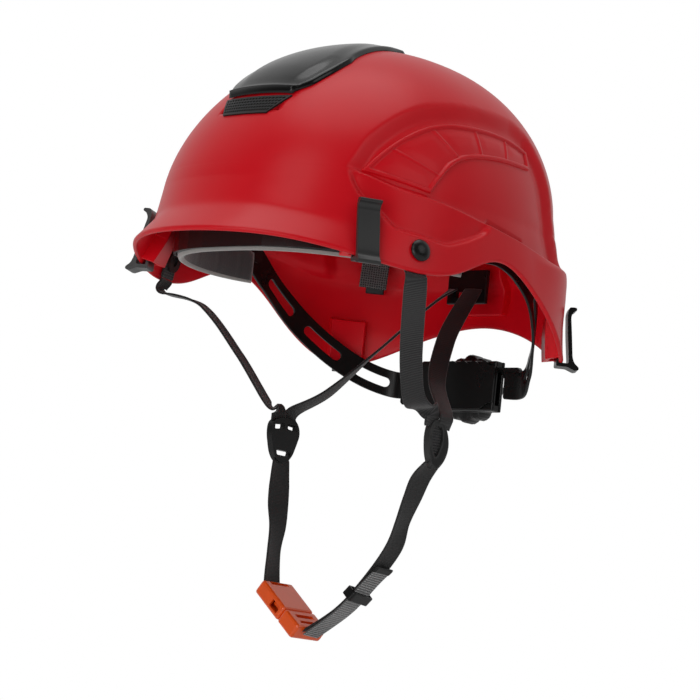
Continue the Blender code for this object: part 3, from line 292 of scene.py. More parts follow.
def makeStage():
    mesh = bpy.data.meshes.new("floor")
    half = stage["floorSize"] / 2
    corners = [(-half, -half, 0), (half, -half, 0), (half, half, 0), (-half, half, 0)]
    mesh.from_pydata(corners, [], [(0, 1, 2, 3)])
    floor = bpy.data.objects.new("floor", mesh)
    floor.location.z = stage["floor"]
    mesh.materials.append(moulded("paleFloor", stage["pale"], 0.7, grain=40.0, tint=0.01))
    bpy.context.scene.collection.objects.link(floor)


def makeWorld():
    world = bpy.data.worlds.new("studio")
    bpy.context.scene.world = world
    world.use_nodes = True
    tree = world.node_tree
    tree.nodes.clear()
    link = tree.links.new
    where = addNode(tree, "ShaderNodeTexCoord")
    # the wall of the studio behind the helmet is bright, the side it is seen from is dark
    toWall = addNode(tree, "ShaderNodeVectorMath", operation="DOT_PRODUCT")
    toWall.inputs[1].default_value = tuple(-v for v in view["back"])
    link(where.outputs["Generated"], toWall.inputs[0])
    soft = addNode(tree, "ShaderNodeBackground", {"Strength": 1.0})
    level = fromTo(tree, toWall.outputs["Value"], sky["front"], sky["behind"], *sky["edge"])
    link(level, soft.inputs["Color"])
    plain = addNode(tree, "ShaderNodeBackground", {"Strength": 1.0, "Color": (1, 1, 1, 1)})
    seen = addNode(tree, "ShaderNodeLightPath")
    pick = addNode(tree, "ShaderNodeMixShader")
    link(seen.outputs["Is Camera Ray"], pick.inputs[0])
    link(soft.outputs[0], pick.inputs[1])
    link(plain.outputs[0], pick.inputs[2])
    out = addNode(tree, "ShaderNodeOutputWorld")
    link(pick.outputs[0], out.inputs["Surface"])


def makeLamps():
    target = Vector((0, 0, 0.02))
    for name, (place, size, power) in lamps.items():
        data = bpy.data.lights.new(name, "AREA")
        data.shape = "DISK"
        data.size = size
        data.energy = power
        lamp = bpy.data.objects.new(name, data)
        lamp.location = place
        lamp.rotation_euler = (target - Vector(place)).to_track_quat("-Z", "Y").to_euler()
        bpy.context.scene.collection.objects.link(lamp)


def makeCamera():
    data = bpy.data.cameras.new("camera")
    data.lens = view["lens"]
    data.shift_x, data.shift_y = view["shift"]
    data.clip_start = 0.05
    camera = bpy.data.objects.new("camera", data)
    turn = Matrix((view["right"], view["up"], view["back"])).transposed()
    camera.matrix_world = Matrix.Translation(Vector(view["back"]) * view["distance"]) @ turn.to_4x4()
    bpy.context.scene.collection.objects.link(camera)
    bpy.context.scene.camera = camera


makeStage()
makeWorld()
makeLamps()
makeCamera()
bpy.context.scene.view_settings.view_transform = "Standard"
print("stage ready")


# shell: one wall with its recess, ridge, pocket and brim
shell = dict(halfWidth=107.0, front=123.9, rear=127.1, crown=139.0, wall=2.8, domeStart=34.75, shift=17.2,
             planFront=2.14, planRear=2.34, recess=5.0, slope=8.5, ridgeStep=2.0, lowerStep=2.6,
             pocketTop=1.4, pocketDeep=4.0, brimEase=0.45, brimFillet=2.6, rimRound=1.3,
             fineFrom=28.0, fineTo=146.0, finePitch=0.62, coarsePitch=1.5,
             windowAngle=12.3, windowLow=77.0, windowTop=86.0)
flareAt = curveOf(((0, 0.727), (48, 0.227), (90, 0.113), (130, 0.233), (180, 0.098)))
rimAt = curveOf(((0, -1.1), (25, -2.6), (50, -10.2), (75, -8.5), (95, 6.2), (115, -10.5),
                 (135, -38.6), (157, -24.4), (180, -11.6)), calm=False)
ridgeAt = curveOf(((0, 43), (37, 43), (55, 35.5), (66, 33.1), (91, 25.9), (110, 21.1), (137, 14), (180, 12)))
archAt = curveOf(((0, 43), (37, 43), (42, 64), (51, 82), (60, 91), (74, 96.5), (88, 98.5), (108, 99),
                  (119, 94), (126, 76), (131, 46), (135, 14), (180, 12)))
lowerAt = curveOf(((0, 43), (36.6, 43), (43.7, 27.2), (50, 18), (55, 10.6), (63, 9), (71, 7.2),
                   (77, 10.5), (87.5, 19.7), (92, 25.5), (93, 25.4), (180, 12)))
creaseAt = curveOf(((0, 16), (15, 16), (27, 13.5), (36, 11.5), (43, 9.5), (60, 6), (180, 6)))
swellAt = curveOf(((-40, -2.0), (-22, 0.0), (-10, 2.6), (-2, 4.5), (11.5, 6.7), (17, 3.4), (22, 2.6),
                   (30, 2.7), (50, 0), (140, 0)))


def basePoint(angle, height, out=0.0, plain=False):  # outer surface without its relief
    angle, height = np.broadcast_arrays(np.asarray(angle, float), np.asarray(height, float))
    turn = np.radians(angle)
    off = np.abs((angle + 180) % 360 - 180)
    front = np.cos(turn) >= 0
    depth = np.where(front, shell["front"], shell["rear"])
    power = np.where(front, shell["planFront"], shell["planRear"])
    plan = (np.abs(np.sin(turn) / shell["halfWidth"]) ** power
            + np.abs(np.cos(turn) / depth) ** power) ** (-1 / power)
    rise = np.clip((height - shell["domeStart"]) / (shell["crown"] - shell["domeStart"]), 0, 1)
    dome = (1 - rise ** 1.87) ** (1 / 2.153)
    below = np.maximum(shell["domeStart"] - height, 0)
    spread = flareAt(off) * below
    if not plain:  # the front runs nearly straight down to a crease, and flares below it
        ease = 1 - (1 - shell["brimEase"]) * (1 - smooth((off - 42) / 22))
        crease = shell["domeStart"] - creaseAt(off)
        full = shell["domeStart"] - rimAt(off)
        upper = ease * flareAt(off)
        lower = (flareAt(off) * full - upper * crease) / (full - crease)
        past = below - crease
        bend = 0.5 * (past + np.sqrt(past ** 2 + shell["brimFillet"] ** 2))
        rest = 0.5 * (full - crease + np.sqrt((full - crease) ** 2 + shell["brimFillet"] ** 2))
        spread = upper * below + (lower - upper) * bend * (full - crease) / rest * smooth(below / 6)
    radius = plan * dome + spread + out
    return np.stack([radius * np.sin(turn), -radius * np.cos(turn) + shell["shift"] * rise, height], axis=-1)


def baseNormal(angle, height):
    around = basePoint(angle + 0.3, height, plain=True) - basePoint(angle - 0.3, height, plain=True)
    top = np.minimum(height + 0.4, shell["crown"] - 0.02)
    up = basePoint(angle, top, plain=True) - basePoint(angle, height - 0.4, plain=True)
    flat = np.broadcast_to(np.array((0.0, 0.0, 1.0)), around.shape)
    normal = np.cross(around, up)
    size = np.linalg.norm(normal, axis=-1, keepdims=True)
    return np.where(size > 1e-4, normal / np.maximum(size, 1e-9), flat)


def nearest(points, line):  # distance of each point to a dense line of points
    shape = points.shape[:-1]
    flat, near = points.reshape(-1, 3), np.inf
    for k in range(0, len(line), 40):
        gap = np.linalg.norm(flat[:, None, :] - line[None, k:k + 40, :], axis=-1).min(axis=1)
        near = np.minimum(near, gap)
    return near.reshape(shape)


def awayFrom(points, curve, begin, end):  # distance of each point to a curve on the wall
    at = np.linspace(begin, end, 420)
    return nearest(points, basePoint(at, curve(at), plain=True))


def reliefAt(angle, height):  # how far the wall stands out of (+) or lies inside (-) its plain surface
    off = np.abs((angle + 180) % 360 - 180)
    shape = off.shape
    off, high = off.ravel(), np.broadcast_to(height, shape).ravel()
    points = basePoint(off, high, plain=True)
    ridge, arch, lower = ridgeAt(off), archAt(off), lowerAt(off)
    toRidge = awayFrom(points, ridgeAt, 37, 136) * np.sign(high - ridge)
    toArch = awayFrom(points, archAt, 37, 135.4) * np.sign(arch - high)
    toLower = awayFrom(points, lowerAt, 36.6, 92) * np.sign(high - lower)
    above = ramp(toRidge / shell["ridgeStep"] + 0.5, 0.12)
    recess = shell["recess"] * ramp(toArch / shell["slope"], 0.05)
    gap = np.maximum(ridge - lower, 0)
    down = np.clip((ridge - high) / np.maximum(gap, 1), 0, 1)
    pocket = (shell["pocketTop"] + (shell["pocketDeep"] - shell["pocketTop"]) * down) * smooth(gap / 9)
    pocket = pocket * ramp(toLower / shell["lowerStep"] + 0.5, 0.12) * (toLower > -12)
    relief = -(above * recess + (1 - above) * pocket)
    slot = smooth((off - 90.5) / 1.5) * smooth((111 - off) / 1.5)
    relief -= 2.0 * slot * smooth(1.5 - np.abs(toRidge - 1.7) / 0.8)
    relief += swellAt(high) * smooth((off - 112) / 24)
    return relief.reshape(shape)


def wallPoint(angle, height, out=0.0):
    angle, height = np.broadcast_arrays(np.asarray(angle, float), np.asarray(height, float))
    away = (reliefAt(angle, height) + out)[..., None]
    return basePoint(angle, height) + baseNormal(angle, height) * away


def shellColumns():
    fine = np.arange(shell["fineFrom"], shell["fineTo"], shell["finePitch"])
    front = np.arange(0, shell["fineFrom"], shell["coarsePitch"])
    front = np.sort(np.append(front[np.abs(front - shell["windowAngle"]) > 0.7], shell["windowAngle"]))
    rear = np.arange(shell["fineTo"], 180.01, shell["coarsePitch"])
    half = np.concatenate([front, fine, rear[rear < 179.5]])
    return np.concatenate([half, [180], -half[:0:-1]])


def shellRows():
    # each row is a place between the rim (0), the ridge (1) and the crown (2)
    skirt = np.concatenate([np.linspace(0, 0.93, 40), np.linspace(0.94, 1.0, 5)])
    dome = 1 + (1 - np.cos(np.linspace(0, 1, 84) ** 0.93 * pi / 2)) ** 0.92
    return np.concatenate([skirt, [1.006, 1.012, 1.02, 1.03], dome[dome > 1.035][:-1]])


def rowHeights(rows, columns):
    off = np.abs(columns)[None, :]
    place = rows[:, None]
    rim, ridge = rimAt(off), ridgeAt(off)
    upper = ridge + (shell["crown"] - ridge) * np.sin(np.clip(place - 1, 0, 1) * pi / 2)
    return np.where(place <= 1, rim + (ridge - rim) * place, upper)


def rowFaces(first, second, wide, skip=()):  # quads between two closed rows of points
    return [(first + c, first + (c + 1) % wide, second + (c + 1) % wide, second + c)
            for c in range(wide) if c not in skip]


def windowFaces(low, top, hole, wide, innerStart, innerRow):  # cheeks, sill and lintel of the front vent
    faces = []
    rows = range(low, top + 1)
    for column in (hole[0], (hole[-1] + 1) % wide):
        outerLine = [r * wide + column for r in rows]
        innerLine = [innerStart + innerRow[r] * wide + column for r in rows if r in innerRow]
        faces.append(tuple(outerLine + innerLine[::-1]))
    solid = set(range(wide)) - set(hole)
    for row in (low, top):
        faces += rowFaces(row * wide, innerStart + innerRow[row] * wide, wide, solid)
    return faces


def makeShell():
    columns, rows = shellColumns(), shellRows()
    heights = rowHeights(rows, columns)
    low, top = (int(np.argmin(np.abs(heights[:, 0] - shell[key]))) for key in ("windowLow", "windowTop"))
    angle = np.broadcast_to(columns, heights.shape)
    relief = reliefAt(angle, heights)
    base, normal = basePoint(angle, heights), baseNormal(angle, heights)
    outer = base + normal * relief[..., None]
    keep = sorted(set(range(0, len(rows), 3)) | {0, low, top, len(rows) - 1})  # the inner face has fewer rows
    inner = (base + normal * (relief - shell["wall"])[..., None])[keep]
    # the rounded rim joins the two bottom rows
    middle, half = (outer[0] + inner[0]) / 2, (outer[0] - inner[0]) / 2
    down = np.array((0, 0, -shell["rimRound"]))
    rim = [middle + half * cos(a) + down * sin(a) for a in np.linspace(0, pi, 6)[1:-1]]
    tips = [face[-1].mean(axis=0) + (0, 0, 0.02) for face in (outer, inner)]
    points = np.concatenate([np.reshape(part, (-1, 3)) for part in (outer, inner, rim, tips)])
    wide = len(columns)
    innerStart, rimStart = len(rows) * wide, (len(rows) + len(keep)) * wide
    edge = shell["windowAngle"]
    hole = [c for c in range(wide) if -edge - 0.01 < columns[c] < edge - 0.01]
    hole.sort(key=lambda c: columns[c])

    def wallFaces(start, places):
        return [face for k, place in enumerate(places[:-1])
                for face in rowFaces(start + k * wide, start + (k + 1) * wide, wide,
                                     hole if low <= place < top else ())]
    outside, inside = wallFaces(0, range(len(rows))), wallFaces(innerStart, keep)
    chain = [0, *(rimStart + k * wide for k in range(len(rim))), innerStart]
    faces = outside + inside
    for first, second in zip(chain, chain[1:]):
        faces += rowFaces(first, second, wide)
    for last, tip in ((innerStart - wide, len(points) - 2), (rimStart - wide, len(points) - 1)):
        faces += [(last + c, last + (c + 1) % wide, tip) for c in range(wide)]
    faces += windowFaces(low, top, hole, wide, innerStart, {row: k for k, row in enumerate(keep)})
    piece = addPiece("shellWall", points, faces, "shell", shellRed, ["outer_shell"], "shell_red")
    # the inner face takes the red painted lighter, painted light on the inner wall
    piece.data.materials.append(insideRedPaintedLight)
    finish = np.zeros(len(faces), np.int32)
    finish[len(outside):len(outside) + len(inside)] = 1
    piece.data.polygons.foreach_set("material_index", finish)
    print("shell", len(faces), "faces")


makeShell()


def domeAt(x, y):  # the point of the dome above a plan position
    x, y = np.broadcast_arrays(np.asarray(x, float), np.asarray(y, float))
    low = np.full(x.shape, shell["domeStart"])
    top = np.full(x.shape, shell["crown"] - 0.05)
    for _ in range(34):
        height = (low + top) / 2
        rise = (height - shell["domeStart"]) / (shell["crown"] - shell["domeStart"])
        centre = shell["shift"] * rise
        angle = np.degrees(np.arctan2(x, centre - y))
        edge = basePoint(angle, height, plain=True)
        inside = np.hypot(edge[..., 0], edge[..., 1] - centre) > np.hypot(x, y - centre)
        low, top = np.where(inside, height, low), np.where(inside, top, height)
    return np.stack([x, y, low], axis=-1)


def domeNormal(x, y):
    across = domeAt(x + 0.5, y) - domeAt(x - 0.5, y)
    along = domeAt(x, y + 0.5) - domeAt(x, y - 0.5)
    return unit(np.cross(across, along))


def closedLayers(top, bottom):  # two grids of the same size joined round their border
    rows, columns = top.shape[:2]
    size = rows * columns
    faces = stripFaces(rows, columns) + [f[::-1] for f in stripFaces(rows, columns, start=size)]
    grid = np.arange(size).reshape(rows, columns)
    border = [int(i) for i in (*grid[0], *grid[1:, -1], *grid[-1, -2::-1], *grid[-2:0:-1, 0])]
    for a, b in zip(border, border[1:] + border[:1]):
        faces.append((a, b, b + size, a + size))
    return np.concatenate([top.reshape(-1, 3), bottom.reshape(-1, 3)]), faces


# embossed side panels: a raised frame round five cells
panel = dict(along=210, across=46, frame=2.9, frameHeight=1.25, cell=0.22, divider=0.62, dividerHeight=0.75,
             outerAngle=((0, 42.1), (0.5, 45.3), (1, 48.8), (1.5, 55), (2, 62.6), (2.5, 73), (3, 85),
                         (3.5, 95), (4, 104), (5, 119)),
             outerHeight=((0, 43.6), (0.5, 53), (1, 61.5), (1.5, 72.3), (2, 80.6), (2.5, 86), (3, 88.2),
                          (3.5, 88.9), (4, 88.6), (5, 84.4)),
             innerAngle=((0, 66.1), (0.5, 67.3), (1, 69.2), (1.5, 72.4), (2, 76.6), (2.5, 81), (3, 87.3),
                         (3.5, 94.5), (4, 101.3), (5, 116.7)),
             innerHeight=((0, 36.0), (0.5, 41.5), (1, 48), (1.5, 56), (2, 61.8), (2.5, 64.9), (3, 67.4),
                          (3.5, 69.2), (4, 70.2), (5, 71.4)))


def makePanels():
    run = np.linspace(0, 5, panel["along"])[:, None]
    side = np.linspace(0, 1, panel["across"])[None, :]
    ends = [curveOf(panel[key])(run) for key in ("innerAngle", "outerAngle", "innerHeight", "outerHeight")]
    angle = ends[0] + (ends[1] - ends[0]) * side
    height = ends[2] + (ends[3] - ends[2]) * side
    base = wallPoint(angle, height)
    edge = np.concatenate([base[:, 0], base[:, -1], base[0], base[-1]])
    toEdge = nearest(base, edge)
    lines = np.concatenate([base[int(round(k / 5 * (panel["along"] - 1)))] for k in (1, 2, 3, 4)])
    toLine = nearest(base, lines)
    frameTop = panel["frameHeight"] * smooth(toEdge / 0.7)
    frameTop = frameTop * (1 - smooth((toEdge - panel["frame"] + 0.3) / 0.5))
    crown = 0.25 * np.sin(np.clip(toEdge / panel["frame"], 0, 1) * pi)
    inside = smooth((toEdge - panel["frame"]) / 0.5)
    bar = panel["dividerHeight"] * (1 - smooth((toLine - panel["divider"]) / 0.5))
    swell = panel["cell"] + 0.35 * smooth((toLine - 1.2) / 6) * smooth((toEdge - panel["frame"] - 0.6) / 6)
    out = frameTop + crown * (frameTop > 0.2) + inside * np.maximum(bar, swell) - 0.6 * (toEdge < 0.05)
    for word, turn in bothSides:
        top = wallPoint(angle * turn, height, out)
        bottom = wallPoint(angle * turn, height, -0.9)
        points, faces = closedLayers(top, bottom)
        addPiece("sidePanel_" + word, points, faces, "shell", shellRed, slot="shell_red")


makePanels()
print("shell and side panels ready")


# flat plates with holes, bent or placed afterwards
def insideOf(loop, points):
    loop, points = np.asarray(loop), np.asarray(points)
    hit = np.zeros(len(points), bool)
    for a, b in zip(loop, np.roll(loop, -1, axis=0)):
        if a[1] != b[1]:
            cross = (b[0] - a[0]) * (points[:, 1] - a[1]) / (b[1] - a[1]) + a[0]
            hit ^= ((a[1] > points[:, 1]) != (b[1] > points[:, 1])) & (points[:, 0] < cross)
    return hit


def resample(loop, pitch):
    loop = np.asarray(loop, float)
    out = []
    for a, b in zip(loop, np.roll(loop, -1, axis=0)):
        count = max(1, int(round(np.linalg.norm(b - a) / pitch)))
        out += [a + (b - a) * k / count for k in range(count)]
    return np.array(out)


def flatMesh(outline, holes, pitch):  # triangles inside the outline, outside the holes
    loops = [resample(loop, pitch) for loop in (outline, *holes)]
    rim = np.concatenate(loops)
    low, top = rim.min(axis=0), rim.max(axis=0)
    lines = [np.arange(low[k] + pitch / 2, top[k], pitch) for k in (0, 1)]
    grid = np.stack(np.meshgrid(*lines), axis=-1).reshape(-1, 2)
    grid = grid[insideOf(loops[0], grid)]
    for loop in loops[1:]:
        grid = grid[~insideOf(loop, grid)]
    if len(grid):
        gap = np.min([np.linalg.norm(grid - point, axis=1) for point in rim], axis=0)
        grid = grid[gap > pitch * 0.55]
    points = [Vector(p) for p in np.concatenate([rim, grid])]
    edges, start = [], 0
    for loop in loops:
        edges += [(start + k, start + (k + 1) % len(loop)) for k in range(len(loop))]
        start += len(loop)
    flat, _, faces, *_ = delaunay_2d_cdt(points, edges, [], 0, 1e-5)
    flat = np.array([tuple(p) for p in flat])
    middle = np.array([flat[list(f)].mean(axis=0) for f in faces])
    good = insideOf(loops[0], middle)
    for loop in loops[1:]:
        good &= ~insideOf(loop, middle)
    return flat, [tuple(f) for f, ok in zip(faces, good) if ok]


def plateFrom(outline, holes, pitch, place):  # place(flat points, side) gives the two faces in space
    flat, faces = flatMesh(outline, holes, pitch)
    count = len(flat)
    seen = {}
    for face in faces:
        for a, b in zip(face, face[1:] + face[:1]):
            seen[(a, b)] = seen.get((a, b), 0) + 1
    rim = [(a, b) for a, b in seen if (b, a) not in seen]
    walls = [(b, a, a + count, b + count) for a, b in rim]
    points = np.concatenate([place(flat, 1), place(flat, -1)])
    return points, faces + [tuple(i + count for i in f[::-1]) for f in faces] + walls


def roundedLoop(corners, radius, steps=5):  # a polygon with rounded corners; radius may differ per corner
    corners = np.asarray(corners, float)
    radii = [radius] * len(corners) if np.isscalar(radius) else radius
    out = []
    for k, corner in enumerate(corners):
        back, ahead = corners[k - 1] - corner, corners[(k + 1) % len(corners)] - corner
        reach = min(radii[k], np.linalg.norm(back) * 0.48, np.linalg.norm(ahead) * 0.48)
        a, c = corner + unit(back) * reach, corner + unit(ahead) * reach
        for t in np.linspace(0, 1, steps):
            out.append((1 - t) ** 2 * a + 2 * t * (1 - t) * corner + t * t * c)
    return np.array(out)


def longSlot(x0, x1, r):  # a slot along x with round ends of radius r
    turn = np.linspace(0, pi, 8)
    right = np.stack([x1 - r + r * np.sin(turn), -r * np.cos(turn)], 1)
    left = np.stack([x0 + r - r * np.sin(turn), r * np.cos(turn)], 1)
    return np.concatenate([right, left])


def softenEdges(piece, width, segments=2, angle=40):
    step = piece.modifiers.new("edges", "BEVEL")
    step.width = width * mm
    step.segments = segments
    step.limit_method = "ANGLE"
    step.angle_limit = radians(angle)
    step.harden_normals = True
    return piece


def frameAt(origin, xAxis, yAxis):  # rows: origin, x, y, z
    xAxis = unit(xAxis)
    zAxis = unit(np.cross(xAxis, yAxis))
    return np.array(origin, float), xAxis, np.cross(zAxis, xAxis), zAxis


def inFrame(place, points):
    origin, x, y, z = place
    points = np.asarray(points, float)
    return origin + points[..., :1] * x + points[..., 1:2] * y + points[..., 2:] * z


def flatPiece(name, outline, holes, depth, place, body, material, pitch=1.2, edge=0.4, **more):
    def sides(flat, side):
        return inFrame(place, np.column_stack([flat, np.full(len(flat), side * depth / 2)]))
    points, faces = plateFrom(outline, holes, pitch, sides)
    piece = addPiece(name, points, faces, body, material, sharp=40, **more)
    return softenEdges(piece, edge) if edge else piece


def turnedPiece(name, profile, place, body, material, **more):
    # profile: (radius, height) from the middle of one face round to the middle of the other
    turn = np.linspace(0, 2 * pi, 64, endpoint=False)
    rings = [inFrame(place, np.stack([r * np.cos(turn), r * np.sin(turn), 0 * turn + height], axis=1))
             for r, height in profile]
    return addPiece(name, np.concatenate(rings), sweepFaces(len(rings), 64), body, material, **more)


# front vent: a glossy cover with a lip over a square-hole grille
vent = dict(rows=64, columns=56, thick=2.5, edge=2.2, front=-95.5, rear=12.0, lip=3.2, lipHeight=1.5,
            halfWidth=((0, 25.6), (0.05, 28.5), (0.13, 33.2), (0.26, 35.6), (0.36, 35.2), (0.42, 32.6),
                       (0.6, 27.5), (0.8, 22), (1, 17)),
            grilleLow=74.6, grilleTop=87.0, grilleHalfLow=17.0, grilleHalfTop=25.4,
            holes=19, holeRows=5, holeShare=0.62, grilleOut=1.0, grilleWall=1.2)


def makeVentCover():
    run = np.linspace(0, 1, vent["rows"])[:, None]
    side = np.linspace(-1, 1, vent["columns"])[None, :]
    side = np.sign(side) * np.abs(side) ** 0.85
    half = curveOf(vent["halfWidth"])(run)
    y = vent["front"] + (vent["rear"] - vent["front"]) * run + 2.5 * (1 - smooth(run / 0.1)) * side ** 2
    x = half * side
    base, normal = domeAt(x, y), domeNormal(x, y)
    edge = np.concatenate([base[:, 0], base[:, -1], base[0], base[-1]])
    toEdge = nearest(base, edge)
    out = vent["thick"] * np.sqrt(np.clip(1 - (1 - np.clip(toEdge / vent["edge"], 0, 1)) ** 2, 0, 1)) + 0.35
    out += 1.3 * smooth((toEdge - 5) / 9) * smooth(run / 0.2) * (1 - 0.5 * run)
    toFront = nearest(base, base[0])
    out += vent["lipHeight"] * (1 - smooth((toFront - vent["lip"]) / 1.4)) * smooth(toEdge / 1.5)
    top, bottom = base + normal * out[..., None], base + normal * 0.3
    forward = np.array((0, -1.0, -0.35)) * 1.6
    reach = (1 - smooth(toFront / 5))[..., None]
    points, faces = closedLayers(top + forward * reach, bottom + forward * reach)
    addPiece("ventCoverShell", points, faces, "shell", blackGloss, ["vent_cover"], "black_gloss")


def holeSides(first, last, count):  # where evenly spaced holes begin and end
    lines = np.linspace(first, last, count + 1)
    bar = (1 - vent["holeShare"]) / 2 * (lines[1] - lines[0])
    return [v for a, b in zip(lines, lines[1:]) for v in (a + bar, b - bar)]


def makeGrille():
    low, top = vent["grilleLow"], vent["grilleTop"]
    across = np.array([-1.0, *holeSides(-0.95, 0.95, vent["holes"]), 1.0])[None, :]
    upward = np.array([0.0, *holeSides(0.09, 0.93, vent["holeRows"]), 1.0])[:, None]
    heights = low + (top - low) * upward
    half = vent["grilleHalfLow"] + (vent["grilleHalfTop"] - vent["grilleHalfLow"]) * upward
    radius = np.abs(basePoint(0.0, heights, plain=True)[..., 1])
    angle = np.degrees(half * across / (radius + 4))
    base, normal = basePoint(angle, heights + 0 * angle), baseNormal(angle, heights + 0 * angle)
    rows, columns = angle.shape
    outer = base + normal * vent["grilleOut"]
    inner = base + normal * (vent["grilleOut"] - vent["grilleWall"])
    size = rows * columns
    faces, solid = [], set()
    for r in range(rows - 1):
        for c in range(columns - 1):
            if not (r % 2 == 1 and c % 2 == 1):
                solid.add((r, c))
                a = r * columns + c
                faces.append((a, a + 1, a + columns + 1, a + columns))
                faces.append((size + a + columns, size + a + columns + 1, size + a + 1, size + a))
    for r, c in solid:
        a = r * columns + c
        for near, one, two in (((r, c - 1), a, a + columns), ((r, c + 1), a + columns + 1, a + 1),
                               ((r - 1, c), a + 1, a), ((r + 1, c), a + columns, a + columns + 1)):
            if near not in solid:
                faces.append((one, two, two + size, one + size))
    points = np.concatenate([outer.reshape(-1, 3), inner.reshape(-1, 3)])
    addPiece("ventGrille", points, faces, "shell", blackMatt, ["vent_grille"], "black_plastic", sharp=30)


makeVentCover()
makeGrille()


# blocks moulded inside the rim
inner = dict(socketHalf=12.5, socketHeight=26.0, socketDeep=11.0, cheek=4.6, backWall=3.0,
             rearHalf=21.0, rearLow=-5.0, rearTop=27.0, rearDeep=9.0, embed=1.4)


def wallBlock(angle, left, right, low, top, near, deep, across=8, up=5):
    # a closed block that follows the wall, millimetres along it from the angle given
    radius = float(np.hypot(*basePoint(angle, low)[:2]))
    turn = angle + np.degrees(np.linspace(left, right, across) / radius)[None, :]
    high = np.linspace(low, top, up)[:, None]
    turn, high = np.broadcast_arrays(turn, high)
    base, normal = basePoint(turn, high), baseNormal(turn, high)
    relief = reliefAt(turn, high)[..., None]
    return closedLayers(base + normal * (relief - near), base + normal * (relief - deep))


def joined(blocks):
    points, faces, start = [], [], 0
    for part, quads in blocks:
        points.append(part)
        faces += [tuple(i + start for i in quad) for quad in quads]
        start += len(part)
    return np.concatenate(points), faces


def makeInnerBlocks():
    for word, angle in rimCorners:
        low = float(rimAt(abs(angle))) + 2.0
        top, half, deep = low + inner["socketHeight"], inner["socketHalf"], inner["socketDeep"]
        blocks = [wallBlock(angle, -half, half, low, top, deep - inner["backWall"], deep),
                  wallBlock(angle, -half, -half + inner["cheek"], low, top, inner["embed"], deep - 0.4, 3),
                  wallBlock(angle, half - inner["cheek"], half, low, top, inner["embed"], deep - 0.4, 3),
                  wallBlock(angle, -half + 0.4, half - 0.4, low + 15, top - 0.3, inner["embed"], deep - 0.4)]
        # the blocks inside the rim take the red painted lighter, painted light inside the shell
        piece = addPiece("socketBlock_" + word, *joined(blocks), "shell", insideRedPaintedLight,
                         slot="shell_red", sharp=40)
        softenEdges(piece, 0.5)
    half = inner["rearHalf"]
    block = wallBlock(180.0, -half, half, inner["rearLow"], inner["rearTop"], inner["embed"],
                      inner["rearDeep"], 14, 9)
    # the rear block takes the red painted lighter, painted light inside the shell
    softenEdges(addPiece("rearBlock", *block, "shell", insideRedPaintedLight, slot="shell_red", sharp=40), 1.2, 3)


makeInnerBlocks()
print("vent and inner blocks ready")


# clips on the rim, and the anchor buttons
clip = dict(width=13.6, height=33.0, plate=2.3, standoff=1.1, seat=1.6, lean=-0.23, edge=0.45, rearOut=3.2)
button = dict(angle=61.6, height=-0.6, radius=6.5, dome=2.7, lift=0.9)


def clipOutline(out):  # x outward from the foot of the wall, y up; out moves the upper end outward
    high, skin, lean = clip["height"], clip["standoff"], clip["lean"]
    face = skin + clip["plate"]
    floor = -clip["seat"] - clip["plate"]
    leg = -shell["wall"] - 2.0
    top = lean * high + out
    middle = lean * high * 0.5 + out * 0.55
    corners = [(skin, 1.0), (skin + middle, high * 0.5), (skin + top + 1.2, high - 3.2),
               (skin + top + 2.2, high + 0.2), (face + top + 4.2, high + 0.3), (face + top + 4.6, high - 1.4),
               (face + top + 2.4, high - 2.6), (face + top + 1.2, high - 5.5),
               (face + middle + 0.3, high * 0.5), (face, 2.0), (face + 1.4, -1.2),
               (face + 4.4, -3.6), (face + 4.3, floor - 1.3), (face + 2.0, floor - 1.9), (0.6, floor),
               (leg - 1.6, floor), (leg - 1.6, 4.0), (leg, 4.0), (leg, -clip["seat"]), (skin, -clip["seat"])]
    rounding = [1, 3, 2, 1, 0.8, 1, 1, 1.5, 3, 2, 1.5, 1, 1, 1, 1, 1, 0.6, 0.6, 0.6, 0.6]
    return roundedLoop(corners, rounding, steps=4)


def makeClips():
    for name, angle in rimCorners:
        out = clip["rearOut"] if abs(angle) > 90 else 0.0
        rim = float(rimAt(abs(angle)))
        foot = basePoint(angle, rim, plain=True)
        normal = baseNormal(np.array(angle), np.array(rim))
        outward = unit(np.array((normal[0], normal[1], 0)))
        place = frameAt(foot, outward, (0, 0, 1))
        flatPiece("clip_%s_body" % name, clipOutline(out), (), clip["width"], place, "clip_" + name,
                  blackSatin, pitch=1.6, edge=clip["edge"], stands=["clip_" + name], slot="black_plastic")


def wallFrame(angle, height):  # x along the rim, y up the wall, z outward
    angle, height = float(angle), float(height)
    along = basePoint(angle + 0.5, height, plain=True) - basePoint(angle - 0.5, height, plain=True)
    up = basePoint(angle, height + 0.5, plain=True) - basePoint(angle, height - 0.5, plain=True)
    return frameAt(basePoint(angle, height, plain=True), along, up)


def makeButtons():
    r, lift, dome = button["radius"], button["lift"], button["dome"]
    shank = 2.6
    profile = [(0.02, lift + dome), (r * 0.3, lift + dome * 0.97), (r * 0.55, lift + dome * 0.86),
               (r * 0.78, lift + dome * 0.62), (r * 0.93, lift + dome * 0.34), (r, lift + 0.35),
               (r, lift - 0.1), (r - 0.5, lift - 0.35), (shank, lift - 0.35), (shank, -6.6), (0.02, -6.6)]
    for word, side in bothSides:
        turnedPiece("button_" + word, profile, wallFrame(side * button["angle"], button["height"]), "shell",
                    blackSatin, sharp=50, stands=["anchor_button_" + word], slot="black_plastic")


makeClips()
makeButtons()
print("clips and buttons ready")

# webbing: flat bands with real ribs and a firm selvedge
webbing = dict(width=14.5, rearWidth=11.9, wall=1.3, ribPitch=1.75, ribHeight=0.17, plainRib=0.06,
               tabLength=17.0, divider=(62.0, 22.0, -99.0), buckle=(-36.0, 24.0, -211.0))


